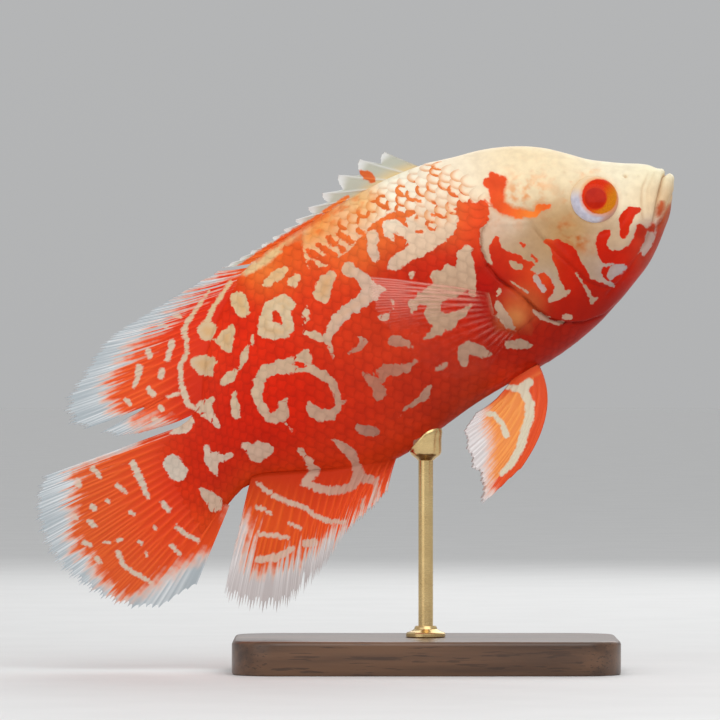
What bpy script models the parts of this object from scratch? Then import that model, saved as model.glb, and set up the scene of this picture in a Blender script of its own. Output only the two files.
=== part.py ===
"""A life-size oscar fish, swimming head up, held by a plain display stand.

The fish is laid out in its own frame, in millimetres: station runs back from the snout, height runs up
from the body's axis, and side is positive on the fish's left. place() turns that into world metres.
"""

import math

import bmesh
import bpy
import numpy as np

MM = 0.001
GAP = 0.3

# How the fish hangs over the middle of its base
PITCH = math.radians(32.0)
SNOUT_X = 87.0
SNOUT_Z = 171.0
SWAY_START = 105.0
SWAY_LENGTH = 150.0
TAIL_SWAY = 7.0

# The body's outline: (station, height) along the back and the belly, and (station, half width)
NOSE = -1.3
NOSE_HEIGHT = 3.4
NOSE_ROUND = 5.0
BACK = (
    (-1.3, 7.2), (0.2, 8.0), (1.5, 9.6), (5, 12.7), (10, 16.1), (15, 19.9), (20, 24.0), (25, 29.4),
    (30, 34.6), (35, 38.7), (40, 41.9), (50, 46.8), (60, 50.1), (70, 53.4), (80, 55.4), (95, 56.9),
    (115, 57.2), (135, 56.6), (147, 54.4), (156, 50.4), (164, 45.0), (171, 38.6), (177, 31.4),
    (182, 24.6), (187, 21.4), (194, 20.6), (205, 21.0),
)
BELLY = (
    (-1.3, -1.9), (0, -2.9), (3, -4.5), (5, -6.9), (10, -11.1), (15, -14.8), (20, -17.9), (30, -21.9),
    (40, -25.2), (50, -27.7), (60, -29.1), (72, -29.4), (85, -28.6), (100, -28.4), (112, -29.2),
    (122, -30.0), (131, -30.2), (140, -28.6), (150, -25.0), (160, -20.2), (170, -14.8), (178, -11.0),
    (184, -10.1), (190, -11.4), (197, -14.2), (205, -18.0),
)
HALF_WIDTH = (
    (-1.3, 7.2), (3, 8.9), (6, 10.2), (10, 11.9), (20, 14.9), (30, 16.8), (42, 18.4), (55, 19.4),
    (68, 19.4), (85, 19.2), (100, 18.6), (115, 17.2), (130, 15.0), (145, 12.1), (160, 9.1),
    (175, 6.6), (187, 4.8), (194, 3.2), (200, 2.0), (205, 1.6),
)
WIDEST_SHARE = (
    (-1.3, 0.52), (10, 0.42), (30, 0.40), (60, 0.38), (100, 0.38), (150, 0.42), (185, 0.48), (205, 0.5),
)
ROUNDNESS = ((-1.3, 2.0), (30, 2.05), (60, 2.0), (110, 1.95), (160, 1.85), (185, 2.1), (205, 2.2))
AROUND = 36
ANGLES = (np.arange(AROUND) + 0.5) * 2 * math.pi / AROUND

# Where the head ends at the gill slit, where the tail stalk begins and where the tail fin is rooted,
# as (height, station)
GILL_SLIT = (
    (-31, 50.0), (-26, 55.0), (-20, 60.3), (-14, 63.3), (-8, 64.5), (-1, 66.2), (5, 68.8), (12, 70.2),
    (18, 68.6), (24, 66.6), (35, 65.4), (53, 63.0),
)
STALK_START = ((-14, 180.8), (5, 182.5), (26, 184.2))
TAIL_ROOT = ((-17, 189.0), (-8, 194.5), (3, 197.6), (13, 195.8), (22, 190.0))

# Mouth, eye, nostril and gill cover, in the side view
# A lip is (rise above the mouth line, radius, foremost station)
MOUTH_LINE = ((-1.0, 5.2), (1.0, 4.9), (4.0, 3.1), (7.5, -0.3), (11.0, -4.2), (14.4, -6.9))
JAW_OUTLINE = (
    (-9, 8.0), (-4, 6.0), (-1.0, 5.2), (1.0, 4.9), (4.0, 3.1), (7.5, -0.3), (11.0, -4.2), (14.6, -7.0),
    (18.5, -11.0), (22.0, -17.0), (23.5, -26.0), (-9, -26.0),
)
UPPER_LIP = (1.3, 1.6, 0.9)
LOWER_LIP = (-1.6, 1.75, -0.6)
EYE_STATION = 26.0
EYE_HEIGHT = 10.9
EYE_RADIUS = 8.7
EYE_BULGE = 5.0
EYE_SINK = 1.3
ORBIT_RADIUS = 9.7
ORBIT_RIM = 1.15
NOSTRIL = (12.3, 12.0)
NOSTRIL_RADIUS = 0.95
COVER_OUTLINE = (
    (49.6, 15.2), (48.9, 6.5), (48.4, -3.0), (47.0, -12.0), (44.0, -19.5), (47.5, -24.4), (56.0, -25.4),
    (67.0, -22.0), (77.0, -10.0), (79.5, 6.0), (73.0, 19.5), (60.5, 21.6), (53.0, 19.2),
)
COVER_SMOOTHING = 3
COVER_RAISE = 0.6
COVER_THICK = 2.2

# Stand
BASE_LENGTH = 136.0
BASE_WIDTH = 86.0
BASE_HEIGHT = 12.0
BASE_CORNER = 16.0
BASE_EDGE = 1.6
ROD_RADIUS = 2.6
COLLAR_RADIUS = 7.0
COLLAR_HEIGHT = 4.0
SADDLE_RADIUS = 5.6
SADDLE_DEPTH = 3.4
ROD_ROUND = 24


def through(points, at):
    """A smooth curve through (place, value) points: cubic Hermite pieces with averaged slopes."""
    x, y = np.array(points, float).T
    step = np.diff(x)
    slope = np.diff(y) / step
    inner = (slope[:-1] * step[1:] + slope[1:] * step[:-1]) / (step[1:] + step[:-1])
    tangent = np.concatenate([slope[:1], inner, slope[-1:]])
    at = np.clip(np.asarray(at, float), x[0], x[-1])
    i = np.clip(np.searchsorted(x, at, side="right") - 1, 0, len(step) - 1)
    t = (at - x[i]) / step[i]
    start = (1 + 2 * t) * (1 - t) ** 2 * y[i] + t * (1 - t) ** 2 * step[i] * tangent[i]
    end = t * t * (3 - 2 * t) * y[i + 1] + t * t * (t - 1) * step[i] * tangent[i + 1]
    return start + end


def sway(station):
    """How far the tail swings to the fish's left, in mm."""
    back = np.clip((np.asarray(station, float) - SWAY_START) / SWAY_LENGTH, 0, None)
    return TAIL_SWAY * back**2


def place(station, height, side):
    """World positions in metres of points in the fish's own frame."""
    station, height, side = np.broadcast_arrays(*(np.asarray(v, float) for v in (station, height, side)))
    x = SNOUT_X - station * math.cos(PITCH) - height * math.sin(PITCH)
    z = SNOUT_Z - station * math.sin(PITCH) + height * math.cos(PITCH)
    return np.stack([x, side + sway(station), z], axis=-1) * MM


def blunt(station):
    """The share of its full size that a section has near the snout, where the head closes roundly."""
    run = np.clip((np.asarray(station, float) - NOSE) / NOSE_ROUND, 0, 1)
    return np.sqrt(1 - (1 - run) ** 2)


def section(station, grow=0.0):
    """Top, bottom, half width, height of the widest place and roundness of the body's section."""
    small = blunt(station)
    top = NOSE_HEIGHT + (through(BACK, station) - NOSE_HEIGHT) * small + grow
    bottom = NOSE_HEIGHT + (through(BELLY, station) - NOSE_HEIGHT) * small - grow
    half = through(HALF_WIDTH, station) * small + grow
    widest = bottom + through(WIDEST_SHARE, station) * (top - bottom)
    return top, bottom, half, widest, through(ROUNDNESS, station)


def skin(station, angle, grow=0.0):
    """(height, side) on the skin: a superellipse, its angle measured from the left side upwards."""
    top, bottom, half, widest, power = section(station, grow)
    c, s = np.cos(angle), np.sin(angle)
    side = half * np.sign(c) * np.abs(c) ** (2 / power)
    reach = np.where(s > 0, top - widest, widest - bottom)
    return widest + reach * np.sign(s) * np.abs(s) ** (2 / power), side


def half_at(station, height):
    """The body's half width at a station and height, by the superellipse's equation."""
    top, bottom, half, widest, power = section(station)
    reach = np.where(height > widest, top - widest, widest - bottom)
    share = np.clip(np.abs(height - widest) / np.maximum(reach, 1e-6), 0, 1)
    return half * (1 - share**power) ** (1 / power)


def material(name, colour, roughness, metallic=0.0):
    made = bpy.data.materials.new(name)
    made.use_nodes = True
    shader = made.node_tree.nodes["Principled BSDF"]
    shader.inputs["Base Color"].default_value = (*colour, 1.0)
    shader.inputs["Roughness"].default_value = roughness
    shader.inputs["Metallic"].default_value = metallic
    return made


def mesh_object(name, points, faces, finish=None):
    """A mesh object from world points in metres, linked to the scene."""
    mesh = bpy.data.meshes.new(name)
    mesh.from_pydata([tuple(p) for p in np.asarray(points, float)], [], [tuple(f) for f in faces])
    mesh.validate()
    made = bpy.data.objects.new(name, mesh)
    bpy.context.scene.collection.objects.link(made)
    if finish:
        mesh.materials.append(finish)
    return made


def smooth(obj, angle=40.0):
    obj.data.shade_smooth()
    obj.data.set_sharp_from_angle(angle=math.radians(angle))


def face_outwards(obj):
    work = bmesh.new()
    work.from_mesh(obj.data)
    bmesh.ops.recalc_face_normals(work, faces=work.faces)
    work.to_mesh(obj.data)
    work.free()


def remove(obj):
    bpy.data.objects.remove(obj, do_unlink=True)


def copy_of(obj, name):
    made = bpy.data.objects.new(name, obj.data.copy())
    bpy.context.scene.collection.objects.link(made)
    return made


def boolean(obj, others, operation):
    """Joins or cuts obj with closed meshes, applies it, and removes those meshes."""
    group = bpy.data.collections.new("operands")
    bpy.context.scene.collection.children.link(group)
    for other in others:
        group.objects.link(other)
    modifier = obj.modifiers.new("boolean", "BOOLEAN")
    modifier.operation = operation
    modifier.operand_type = "COLLECTION"
    modifier.collection = group
    modifier.solver = "EXACT"
    graph = bpy.context.evaluated_depsgraph_get()
    made = bpy.data.meshes.new_from_object(obj.evaluated_get(graph))
    obj.modifiers.clear()
    obj.data = made
    for other in others:
        remove(other)
    bpy.data.collections.remove(group)
    keep_largest(obj)
    return obj


def keep_largest(obj):
    """Leaves only the closed surface that holds the most volume."""
    work = bmesh.new()
    work.from_mesh(obj.data)
    bmesh.ops.triangulate(work, faces=work.faces)
    unseen = set(work.verts)
    shells = []
    while unseen:
        start = unseen.pop()
        shell = {start}
        edge = [start]
        while edge:
            vert = edge.pop()
            for link in vert.link_edges:
                other = link.other_vert(vert)
                if other not in shell:
                    shell.add(other)
                    edge.append(other)
        unseen -= shell
        faces = {face for vert in shell for face in vert.link_faces}
        volume = sum(f.verts[0].co.dot(f.verts[1].co.cross(f.verts[2].co)) for f in faces)
        shells.append((volume, shell))
    best = max(shells, key=lambda entry: entry[0])[1]
    bmesh.ops.delete(work, geom=[v for v in work.verts if v not in best], context="VERTS")
    work.to_mesh(obj.data)
    work.free()


def ring_faces(rings, around):
    """Quads between neighbouring rings of points."""
    faces = []
    for i in range(rings - 1):
        for j in range(around):
            k = (j + 1) % around
            faces.append((i * around + j, i * around + k, (i + 1) * around + k, (i + 1) * around + j))
    return faces


def cut_station(cut, angle, offset):
    """The station where each angle's line of skin meets a cut given as (height, station)."""
    station = through(cut, 0.0) + np.zeros_like(angle)
    for _ in range(12):
        height, _side = skin(station, angle)
        station = 0.5 * (station + through(cut, height))
    return station + offset


def rows(start, end, count, bias=1.0):
    """Stations of rings of skin between two cuts, each a plain station or a (curve, offset) pair."""
    ends = []
    for cut in (start, end):
        if isinstance(cut, tuple):
            ends.append(cut_station(cut[0], ANGLES, cut[1]))
        else:
            ends.append(np.full(AROUND, float(cut)))
    share = np.linspace(0, 1, count) ** bias
    return ends[0] + (ends[1] - ends[0]) * share[:, None]


def cap_middle(cut):
    """The point on the fish's middle plane that a cut's closing faces run in to."""
    if isinstance(cut, tuple):
        middle = 10.0 if cut[0] is GILL_SLIT else 5.0
        return place(through(cut[0], middle) + cut[1], middle, 0.0)
    return place(cut, section(cut)[3], 0.0)


def loft(name, station, start, end, grow=0.0, finish=None):
    """A closed length of the body on rings of stations, closed by a fan of faces at both cuts."""
    height, side = skin(station, ANGLES + 0 * station, grow)
    points = list(place(station, height, side).reshape(-1, 3))
    faces = ring_faces(len(station), AROUND)
    for cut, ring in ((start, 0), (end, len(station) - 1)):
        points.append(cap_middle(cut))
        for j in range(AROUND):
            k = (j + 1) % AROUND
            faces.append((ring * AROUND + j, ring * AROUND + k, len(points) - 1))
    made = mesh_object(name, points, faces, finish)
    face_outwards(made)
    return made


def head_shape(name, grow=0.0, finish=None):
    slit = (GILL_SLIT, -GAP / 2)
    return loft(name, rows(NOSE, slit, 20, 1.5), NOSE, slit, grow, finish)


def trunk_shape(name, finish=None):
    cuts = (GILL_SLIT, GAP / 2), (STALK_START, -GAP / 2)
    return loft(name, rows(*cuts, 25, 0.85), *cuts, 0.0, finish)


def stalk_shape(name, finish=None):
    cuts = (STALK_START, GAP / 2), (TAIL_ROOT, 0.0)
    return loft(name, rows(*cuts, 6), *cuts, 0.0, finish)


def whole_shape(name, grow):
    """The whole body on the rings of its pieces, grown or shrunk all round."""
    head = rows(NOSE, (GILL_SLIT, -GAP / 2), 20, 1.5)
    trunk = rows((GILL_SLIT, GAP / 2), (STALK_START, -GAP / 2), 25, 0.85)
    stalk = rows((STALK_START, GAP / 2), (TAIL_ROOT, 0.0), 6)
    station = np.concatenate([head[:-1], trunk[:-1], stalk])
    return loft(name, station, NOSE, (TAIL_ROOT, 0.0), grow)


def seat(obj):
    """Cuts a root that reaches into the body, so that it meets the skin face to face."""
    return boolean(obj, [whole_shape("body_cutter", GAP)], "DIFFERENCE")


def prism(name, outline, reach=40.0, side=0):
    """An outline in the side view, drawn right through the fish, or through one side of it."""
    ends = {0: (-reach, reach), 1: (0.0, reach), -1: (-reach, 0.0)}[side]
    station, height = np.array(outline, float).T
    points = np.concatenate([place(station, height, y) for y in ends])
    count = len(outline)
    faces = [tuple(range(count)), tuple(range(2 * count - 1, count - 1, -1))]
    for i in range(count):
        j = (i + 1) % count
        faces.append((j, i, i + count, j + count))
    made = mesh_object(name, points, faces)
    face_outwards(made)
    return made


def outset(outline, by):
    """An outline moved outwards by a distance, each corner along the mean of its sides' normals."""
    pts = np.array(outline, float)
    ahead = np.roll(pts, -1, axis=0) - pts
    area = np.sum(pts[:, 0] * np.roll(pts[:, 1], -1) - np.roll(pts[:, 0], -1) * pts[:, 1])
    normal = np.stack([ahead[:, 1], -ahead[:, 0]], axis=1) * np.sign(area)
    normal /= np.linalg.norm(normal, axis=1)[:, None]
    mean = normal + np.roll(normal, 1, axis=0)
    mean /= np.sum(mean * normal, axis=1)[:, None]
    return pts + mean * by


def softened(outline, steps):
    """A closed outline run smoothly through its points: Catmull and Rom's curve, steps points to a side."""
    now = np.array(outline, float)
    before, after, later = np.roll(now, 1, axis=0), np.roll(now, -1, axis=0), np.roll(now, -2, axis=0)
    pieces = []
    for t in np.arange(steps) / steps:
        a = 2 * now + (after - before) * t
        b = (2 * before - 5 * now + 4 * after - later) * t * t
        c = (3 * now - before - 3 * after + later) * t**3
        pieces.append((a + b + c) / 2)
    return np.stack(pieces, axis=1).reshape(-1, 2)


def tube(name, path, radius, around=10):
    """A closed round tube along world points, thinner towards its two ends."""
    path = np.asarray(path, float)
    ahead = np.gradient(path, axis=0)
    ahead /= np.linalg.norm(ahead, axis=1)[:, None]
    up = np.array([-math.sin(PITCH), 0.0, math.cos(PITCH)])
    out = np.cross(ahead, up)
    out /= np.linalg.norm(out, axis=1)[:, None]
    lift = np.cross(out, ahead)
    turn = np.linspace(0, 2 * math.pi, around, endpoint=False)
    size = np.asarray(radius)[:, None, None]
    rings = path[:, None] + size * (
        np.cos(turn)[None, :, None] * out[:, None] + np.sin(turn)[None, :, None] * lift[:, None]
    )
    points = np.concatenate([rings.reshape(-1, 3), path[:1], path[-1:]])
    faces = ring_faces(len(path), around)
    first = len(path) * around
    last = (len(path) - 1) * around
    for j in range(around):
        k = (j + 1) % around
        faces.append((k, j, first))
        faces.append((last + j, last + k, first + 1))
    made = mesh_object(name, points, faces)
    face_outwards(made)
    return made


def lip(name, above, radius, start):
    """A fleshy lip from one mouth corner round the snout to the other, along the mouth line."""
    share = np.linspace(-1, 1, 17)
    station = start + (MOUTH_LINE[-1][0] - start) * np.abs(share) ** 1.7
    height = through(MOUTH_LINE, station) + above
    half = section(station)[2]
    side = np.sign(share) * (half - 0.5 * radius)
    size = radius * (1 - 0.45 * np.abs(share) ** 3)
    return tube(name, place(station, height, side), size * MM, 8)


def skin_frame(station, height, side_sign):
    """A point on the skin and the outward, backward and upward directions there, in world axes."""
    def at(s, h):
        return place(s, h, side_sign * half_at(s, h))

    point = at(station, height)
    back = at(station + 0.5, height) - at(station - 0.5, height)
    up = at(station, height + 0.5) - at(station, height - 0.5)
    out = np.cross(back, up) * side_sign
    out /= np.linalg.norm(out)
    if out[1] * side_sign < 0:
        out = -out
    back -= out * back.dot(out)
    back /= np.linalg.norm(back)
    return point, out, back, np.cross(out, back) * side_sign


def ellipsoid(name, centre, axes, radii, around=22, rings=12, finish=None):
    """A closed ellipsoid: axes are three world directions and radii their half lengths in metres."""
    turn = np.linspace(0, 2 * math.pi, around, endpoint=False)
    tilt = np.linspace(0, math.pi, rings + 1)[1:-1]
    x = np.outer(np.sin(tilt), np.cos(turn)).ravel()
    y = np.outer(np.sin(tilt), np.sin(turn)).ravel()
    z = np.outer(np.cos(tilt), np.ones(around)).ravel()
    unit = np.concatenate([np.stack([x, y, z], axis=1), [[0, 0, 1]], [[0, 0, -1]]])
    points = centre + (unit * np.asarray(radii)) @ np.asarray(axes)
    faces = ring_faces(rings - 1, around)
    first = (rings - 1) * around
    last = (rings - 2) * around
    for j in range(around):
        k = (j + 1) % around
        faces.append((k, j, first))
        faces.append((last + j, last + k, first + 1))
    made = mesh_object(name, points, faces, finish)
    face_outwards(made)
    return made


def torus(name, centre, axes, ring, thick, around=26, tube_sides=6):
    """A closed ring: axes are two directions in its plane and the one through it."""
    turn = np.linspace(0, 2 * math.pi, around, endpoint=False)
    tilt = np.linspace(0, 2 * math.pi, tube_sides, endpoint=False)
    turn_here, tilt_here = np.meshgrid(turn, tilt, indexing="ij")
    reach = ring + thick * np.cos(tilt_here)
    flat = [reach * np.cos(turn_here), reach * np.sin(turn_here), thick * np.sin(tilt_here)]
    flat = np.stack(flat, axis=-1).reshape(-1, 3)
    faces = []
    for i in range(around):
        for j in range(tube_sides):
            k = (i + 1) % around
            m = (j + 1) % tube_sides
            faces.append((i * tube_sides + j, k * tube_sides + j, k * tube_sides + m, i * tube_sides + m))
    made = mesh_object(name, centre + flat @ np.asarray(axes), faces)
    face_outwards(made)
    return made


def curve_at(ray, t):
    """Points along one fin ray, a quadratic curve from root by way of its bend to its tip."""
    root, bend, tip = (np.asarray(p, float) for p in ray)
    t = np.asarray(t, float)[..., None]
    return (1 - t) ** 2 * root + 2 * t * (1 - t) * bend + t * t * tip


def fin(name, rays, rows, ray_thick, web_thick, notch, finish, flesh=0.0, flesh_reach=0.2):
    """A closed fin: each ray is a ridge raised on a thinner web, whose free edge falls short of the tips.

    rays hold (root, bend, tip) points as (station, height, side). Thicknesses are (root, tip) in mm.
    """
    share = np.linspace(0, 1, rows + 1)
    lines = [curve_at(ray, share) for ray in rays]
    columns, thick = [], []
    fade = np.clip(1 - share / flesh_reach, 0, 1) ** 2 * flesh

    def add(line, pair):
        columns.append(line)
        thick.append(np.maximum(pair[0] + (pair[1] - pair[0]) * share, 0.4) + fade)

    for k, line in enumerate(lines):
        add(line, ray_thick)
        if k + 1 == len(lines):
            break
        gap = notch[k] if isinstance(notch, (list, np.ndarray)) else notch
        short = share * (1 - gap)
        here = curve_at(rays[k], short)
        there = curve_at(rays[k + 1], short)
        add(here * 0.5 + there * 0.5, web_thick)
    grid = np.array(columns)
    half = np.array(thick)[..., None] * 0.5
    across = np.gradient(grid, axis=0)
    along = np.gradient(grid, axis=1)
    normal = np.cross(across, along)
    normal /= np.linalg.norm(normal, axis=-1)[..., None] + 1e-12
    sheets = [grid + normal * half, grid - normal * half]
    wide, tall = grid.shape[:2]
    points = np.concatenate([s.reshape(-1, 3) for s in sheets])
    under = wide * tall

    def index(i, j):
        return i * tall + j

    faces = []
    for i in range(wide - 1):
        for j in range(tall - 1):
            a, b, c, d = index(i, j), index(i + 1, j), index(i + 1, j + 1), index(i, j + 1)
            faces += [(a, b, c), (a, c, d)]
            faces += [(c + under, b + under, a + under), (d + under, c + under, a + under)]
    rim = [index(i, 0) for i in range(wide)] + [index(wide - 1, j) for j in range(1, tall)]
    rim += [index(i, tall - 1) for i in range(wide - 2, -1, -1)]
    rim += [index(0, j) for j in range(tall - 2, 0, -1)]
    for a, b in zip(rim, rim[1:] + rim[:1]):
        faces.append((b, a, a + under, b + under))
    made = mesh_object(name, place(points[:, 0], points[:, 1], points[:, 2]), faces, finish)
    face_outwards(made)
    return made


def fan(count, roots, tips, bend_share, bow):
    """Rays whose roots and tips are read from smooth curves over a share from 0 to 1.

    roots and tips are functions of the share. bow moves the bend sideways, as a part of the ray's length.
    """
    rays = []
    for u in np.linspace(0, 1, count):
        root, tip = np.asarray(roots(u), float), np.asarray(tips(u), float)
        run = tip - root
        bend = root + run * bend_share
        bend[:2] += np.array([-run[1], run[0]]) * bow
        rays.append((root, bend, tip))
    return rays


def along(points):
    """A function of a share through (share, station, height, side) points."""
    table = np.array(points, float)

    def read(u):
        return np.array([through(table[:, (0, k)], u) for k in range(1, table.shape[1])])

    return read


FIN_ROOT_DEPTH = 2.4
SPINES = 13
DORSAL_RAYS = 20
ANAL_RAYS = 19
TAIL_RAYS = 18
PECTORAL_RAYS = 13
PELVIC_RAYS = 7

DORSAL_SPINE_ROOTS = (70.0, 136.0)
DORSAL_SPINE_TIPS = (
    (0, 79.5, 64.3), (0.08, 88.0, 66.6), (0.17, 98.0, 66.0), (0.26, 106.8, 63.3), (0.35, 114.0, 61.6),
    (0.44, 120.5, 60.3), (0.6, 130.0, 59.7), (0.8, 140.5, 59.6), (1, 150.0, 60.0),
)
DORSAL_RAY_ROOTS = (138.2, 183.0)
DORSAL_RAY_TIPS = (
    (0, 152.0, 60.0), (0.12, 168.0, 60.6), (0.26, 184.0, 60.8), (0.40, 199.0, 60.4), (0.54, 213.0, 54.6),
    (0.66, 223.5, 48.8), (0.75, 225.0, 41.0), (0.82, 219.0, 35.2), (0.88, 215.0, 30.4), (0.94, 207.5, 26.6),
    (1, 195.0, 23.0),
)
DORSAL_TEAR = 0.85
DORSAL_TEAR_DEPTH = 0.5
ANAL_ROOTS = (131.0, 180.2)
ANAL_TIPS = (
    (0, 142.5, -38.2), (0.06, 149.8, -40.6), (0.12, 156.0, -41.7), (0.2, 164.0, -43.8), (0.3, 172.0, -47.6),
    (0.42, 181.0, -51.3), (0.55, 190.0, -53.6), (0.65, 197.0, -54.0), (0.75, 204.5, -49.6),
    (0.85, 209.4, -44.2), (0.93, 210.8, -38.8), (1, 203.0, -33.2),
)
TAIL_ROOT_HEIGHTS = (20.2, -12.6)
TAIL_TIPS = (
    (0, 243.5, 31.2), (0.1, 248.6, 27.6), (0.2, 252.6, 21.8), (0.3, 255.0, 15.0), (0.4, 256.2, 8.0),
    (0.5, 255.8, 1.4), (0.6, 254.0, -5.0), (0.7, 251.0, -12.0), (0.8, 247.0, -19.0), (0.88, 241.5, -25.0),
    (0.94, 233.0, -30.0), (1, 217.0, -30.2),
)
PECTORAL_ROOTS = ((0, 73.0, 0.5, 0), (0.5, 75.0, -6.5, 0), (1, 73.0, -13.5, 0))
PECTORAL_TIPS = (
    (0, 108.0, 30.0, 27.5), (0.2, 112.0, 21.5, 29.5), (0.4, 112.5, 10.0, 30.5), (0.6, 110.0, -4.0, 30.0),
    (0.8, 102.5, -16.5, 28.0), (1, 89.0, -20.0, 23.5),
)
PECTORAL_LOBE = (71.5, -6.5)
PELVIC_ROOTS = ((0, 73.4, -28.2, 5.2), (1, 83.0, -27.6, 3.2))
PELVIC_TIPS = (
    (0, 98.0, -55.6, 15.0), (0.16, 116.0, -59.3, 15.6), (0.33, 109.5, -53.0, 14.2), (0.5, 111.5, -46.5, 12.6),
    (0.68, 110.5, -39.5, 10.6), (0.85, 107.5, -33.8, 8.6), (1, 101.0, -31.0, 6.6),
)
PELVIC_BENDS = (
    (0, 74.6, -46.0, 10.4), (0.3, 80.0, -45.0, 9.6), (0.65, 88.0, -38.0, 8.0), (1, 92.0, -31.8, 5.4),
)


def back_root(station):
    return np.array([station, float(through(BACK, station)) - FIN_ROOT_DEPTH, 0.0])


def belly_root(station):
    return np.array([station, float(through(BELLY, station)) + FIN_ROOT_DEPTH, 0.0])


def dorsal_fins(finish):
    tips = along(DORSAL_SPINE_TIPS)
    spines = fan(
        SPINES,
        lambda u: back_root(DORSAL_SPINE_ROOTS[0] + u * (DORSAL_SPINE_ROOTS[1] - DORSAL_SPINE_ROOTS[0])),
        lambda u: np.append(tips(u), 0.0),
        0.45,
        -0.02,
    )
    notch = np.linspace(0.34, 0.16, SPINES - 1)
    seat(fin("dorsal_fin_spiny", spines, 4, (1.9, 0.7), (1.1, 0.5), notch, finish, 1.2, 0.5))
    ray_tips = along(DORSAL_RAY_TIPS)
    soft = fan(
        DORSAL_RAYS,
        lambda u: back_root(DORSAL_RAY_ROOTS[0] + u * (DORSAL_RAY_ROOTS[1] - DORSAL_RAY_ROOTS[0])),
        lambda u: np.append(ray_tips(u), 0.0),
        0.5,
        -0.05,
    )
    share = np.linspace(0, 1, DORSAL_RAYS)[:-1]
    notch = np.full(DORSAL_RAYS - 1, 0.05)
    notch[np.argmin(np.abs(share - DORSAL_TEAR))] = DORSAL_TEAR_DEPTH
    seat(fin("dorsal_fin_soft", soft, 5, (1.7, 0.6), (1.1, 0.5), notch, finish, 1.6, 0.3))


def anal_fin(finish):
    tips = along(ANAL_TIPS)
    rays = fan(
        ANAL_RAYS,
        lambda u: belly_root(ANAL_ROOTS[0] + u * (ANAL_ROOTS[1] - ANAL_ROOTS[0])),
        lambda u: np.append(tips(u), 0.0),
        0.5,
        0.05,
    )
    seat(fin("anal_fin", rays, 5, (1.7, 0.6), (1.1, 0.5), 0.05, finish, 1.6, 0.3))


def tail_fin(finish):
    tips = along(TAIL_TIPS)

    def root(u):
        height = TAIL_ROOT_HEIGHTS[0] + u * (TAIL_ROOT_HEIGHTS[1] - TAIL_ROOT_HEIGHTS[0])
        return np.array([float(through(TAIL_ROOT, height)) + GAP, height, 0.0])

    rays = fan(TAIL_RAYS, root, lambda u: np.append(tips(u), 0.0), 0.5, 0.0)
    return fin("tail_fin", rays, 6, (1.9, 0.6), (1.2, 0.5), 0.035, finish, 2.6, 0.34)


def paired_fins(side, name, finish):
    """The breast fin with its fleshy lobe and the belly fin of one side."""
    root_at, tip_at = along(PECTORAL_ROOTS), along(PECTORAL_TIPS)

    def breast_root(u):
        station, height, _ = root_at(u)
        return np.array([station, height, side * (float(half_at(station, height)) - 1.0)])

    def breast_tip(u):
        return tip_at(u) * np.array([1, 1, side])

    rays = fan(PECTORAL_RAYS, breast_root, breast_tip, 0.45, 0.03)
    breast = fin(f"pectoral_fin_{name}", rays, 5, (1.5, 0.5), (0.9, 0.4), 0.04, finish, 1.4, 0.3)
    point, out, back, up = skin_frame(*PECTORAL_LOBE, side)
    lobe = ellipsoid("lobe", point, (back, up, out), np.array((5.4, 8.4, 2.9)) * MM, 16, 10)
    boolean(breast, [lobe], "UNION")
    seat(breast)
    root, bend, tip = along(PELVIC_ROOTS), along(PELVIC_BENDS), along(PELVIC_TIPS)
    mirror = np.array([1, 1, side])
    belly = [(root(u) * mirror, bend(u) * mirror, tip(u) * mirror) for u in np.linspace(0, 1, PELVIC_RAYS)]
    seat(fin(f"pelvic_fin_{name}", belly, 7, (1.8, 0.6), (1.0, 0.5), 0.05, finish, 1.8, 0.3))


def eyes(finish):
    """Both eyeballs, and the sockets and rims that they sit in."""
    sockets, rims = [], []
    for side, name in ((-1, "right"), (1, "left")):
        point, out, back, up = skin_frame(EYE_STATION, EYE_HEIGHT, side)
        axes = (back, up, out)
        centre = point - out * EYE_SINK * MM
        size = np.array((EYE_RADIUS, EYE_RADIUS, EYE_BULGE))
        ellipsoid(f"eye_{name}", centre, axes, size * MM, finish=finish)
        sockets.append(ellipsoid("socket", centre, axes, (size + GAP) * MM))
        rims.append(torus("rim", point - out * 0.35 * MM, axes, ORBIT_RADIUS * MM, ORBIT_RIM * MM))
    return sockets, rims


def nostrils():
    pits = []
    for side in (-1, 1):
        point, out, back, up = skin_frame(*NOSTRIL, side)
        size = np.array((NOSTRIL_RADIUS, NOSTRIL_RADIUS * 0.8, NOSTRIL_RADIUS * 1.5)) * MM
        pits.append(ellipsoid("pit", point, (back, up, out), size, 12, 8))
    return pits


def head_parts(flesh, eye_finish):
    """Head, lower jaw, gill covers and eyes."""
    head = head_shape("head", finish=flesh)
    sockets, rims = eyes(eye_finish)
    lips = [lip("upper", *UPPER_LIP), lip("lower", *LOWER_LIP)]
    boolean(head, [*lips, *rims], "UNION")
    jaw = copy_of(head, "jaw_lower")
    boolean(jaw, [prism("jaw_block", JAW_OUTLINE)], "INTERSECT")
    boolean(head, [prism("jaw_space", outset(JAW_OUTLINE, GAP))], "DIFFERENCE")
    boolean(head, sockets + nostrils(), "DIFFERENCE")
    outline = softened(COVER_OUTLINE, COVER_SMOOTHING)
    for side, name in ((-1, "right"), (1, "left")):
        space = prism("cover_space", outset(outline, GAP), side=side)
        core = loft("core", rows(5.0, 80.0, 16), 5.0, 80.0, -COVER_THICK - GAP)
        boolean(space, [core], "DIFFERENCE")
        boolean(head, [space], "DIFFERENCE")
        cover = head_shape(f"gill_cover_{name}", COVER_RAISE, finish=flesh)
        boolean(cover, [prism("cover_block", outline, side=side)], "INTERSECT")
        core = loft("core", rows(5.0, 80.0, 16), 5.0, 80.0, -COVER_THICK)
        boolean(cover, [core], "DIFFERENCE")


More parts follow.
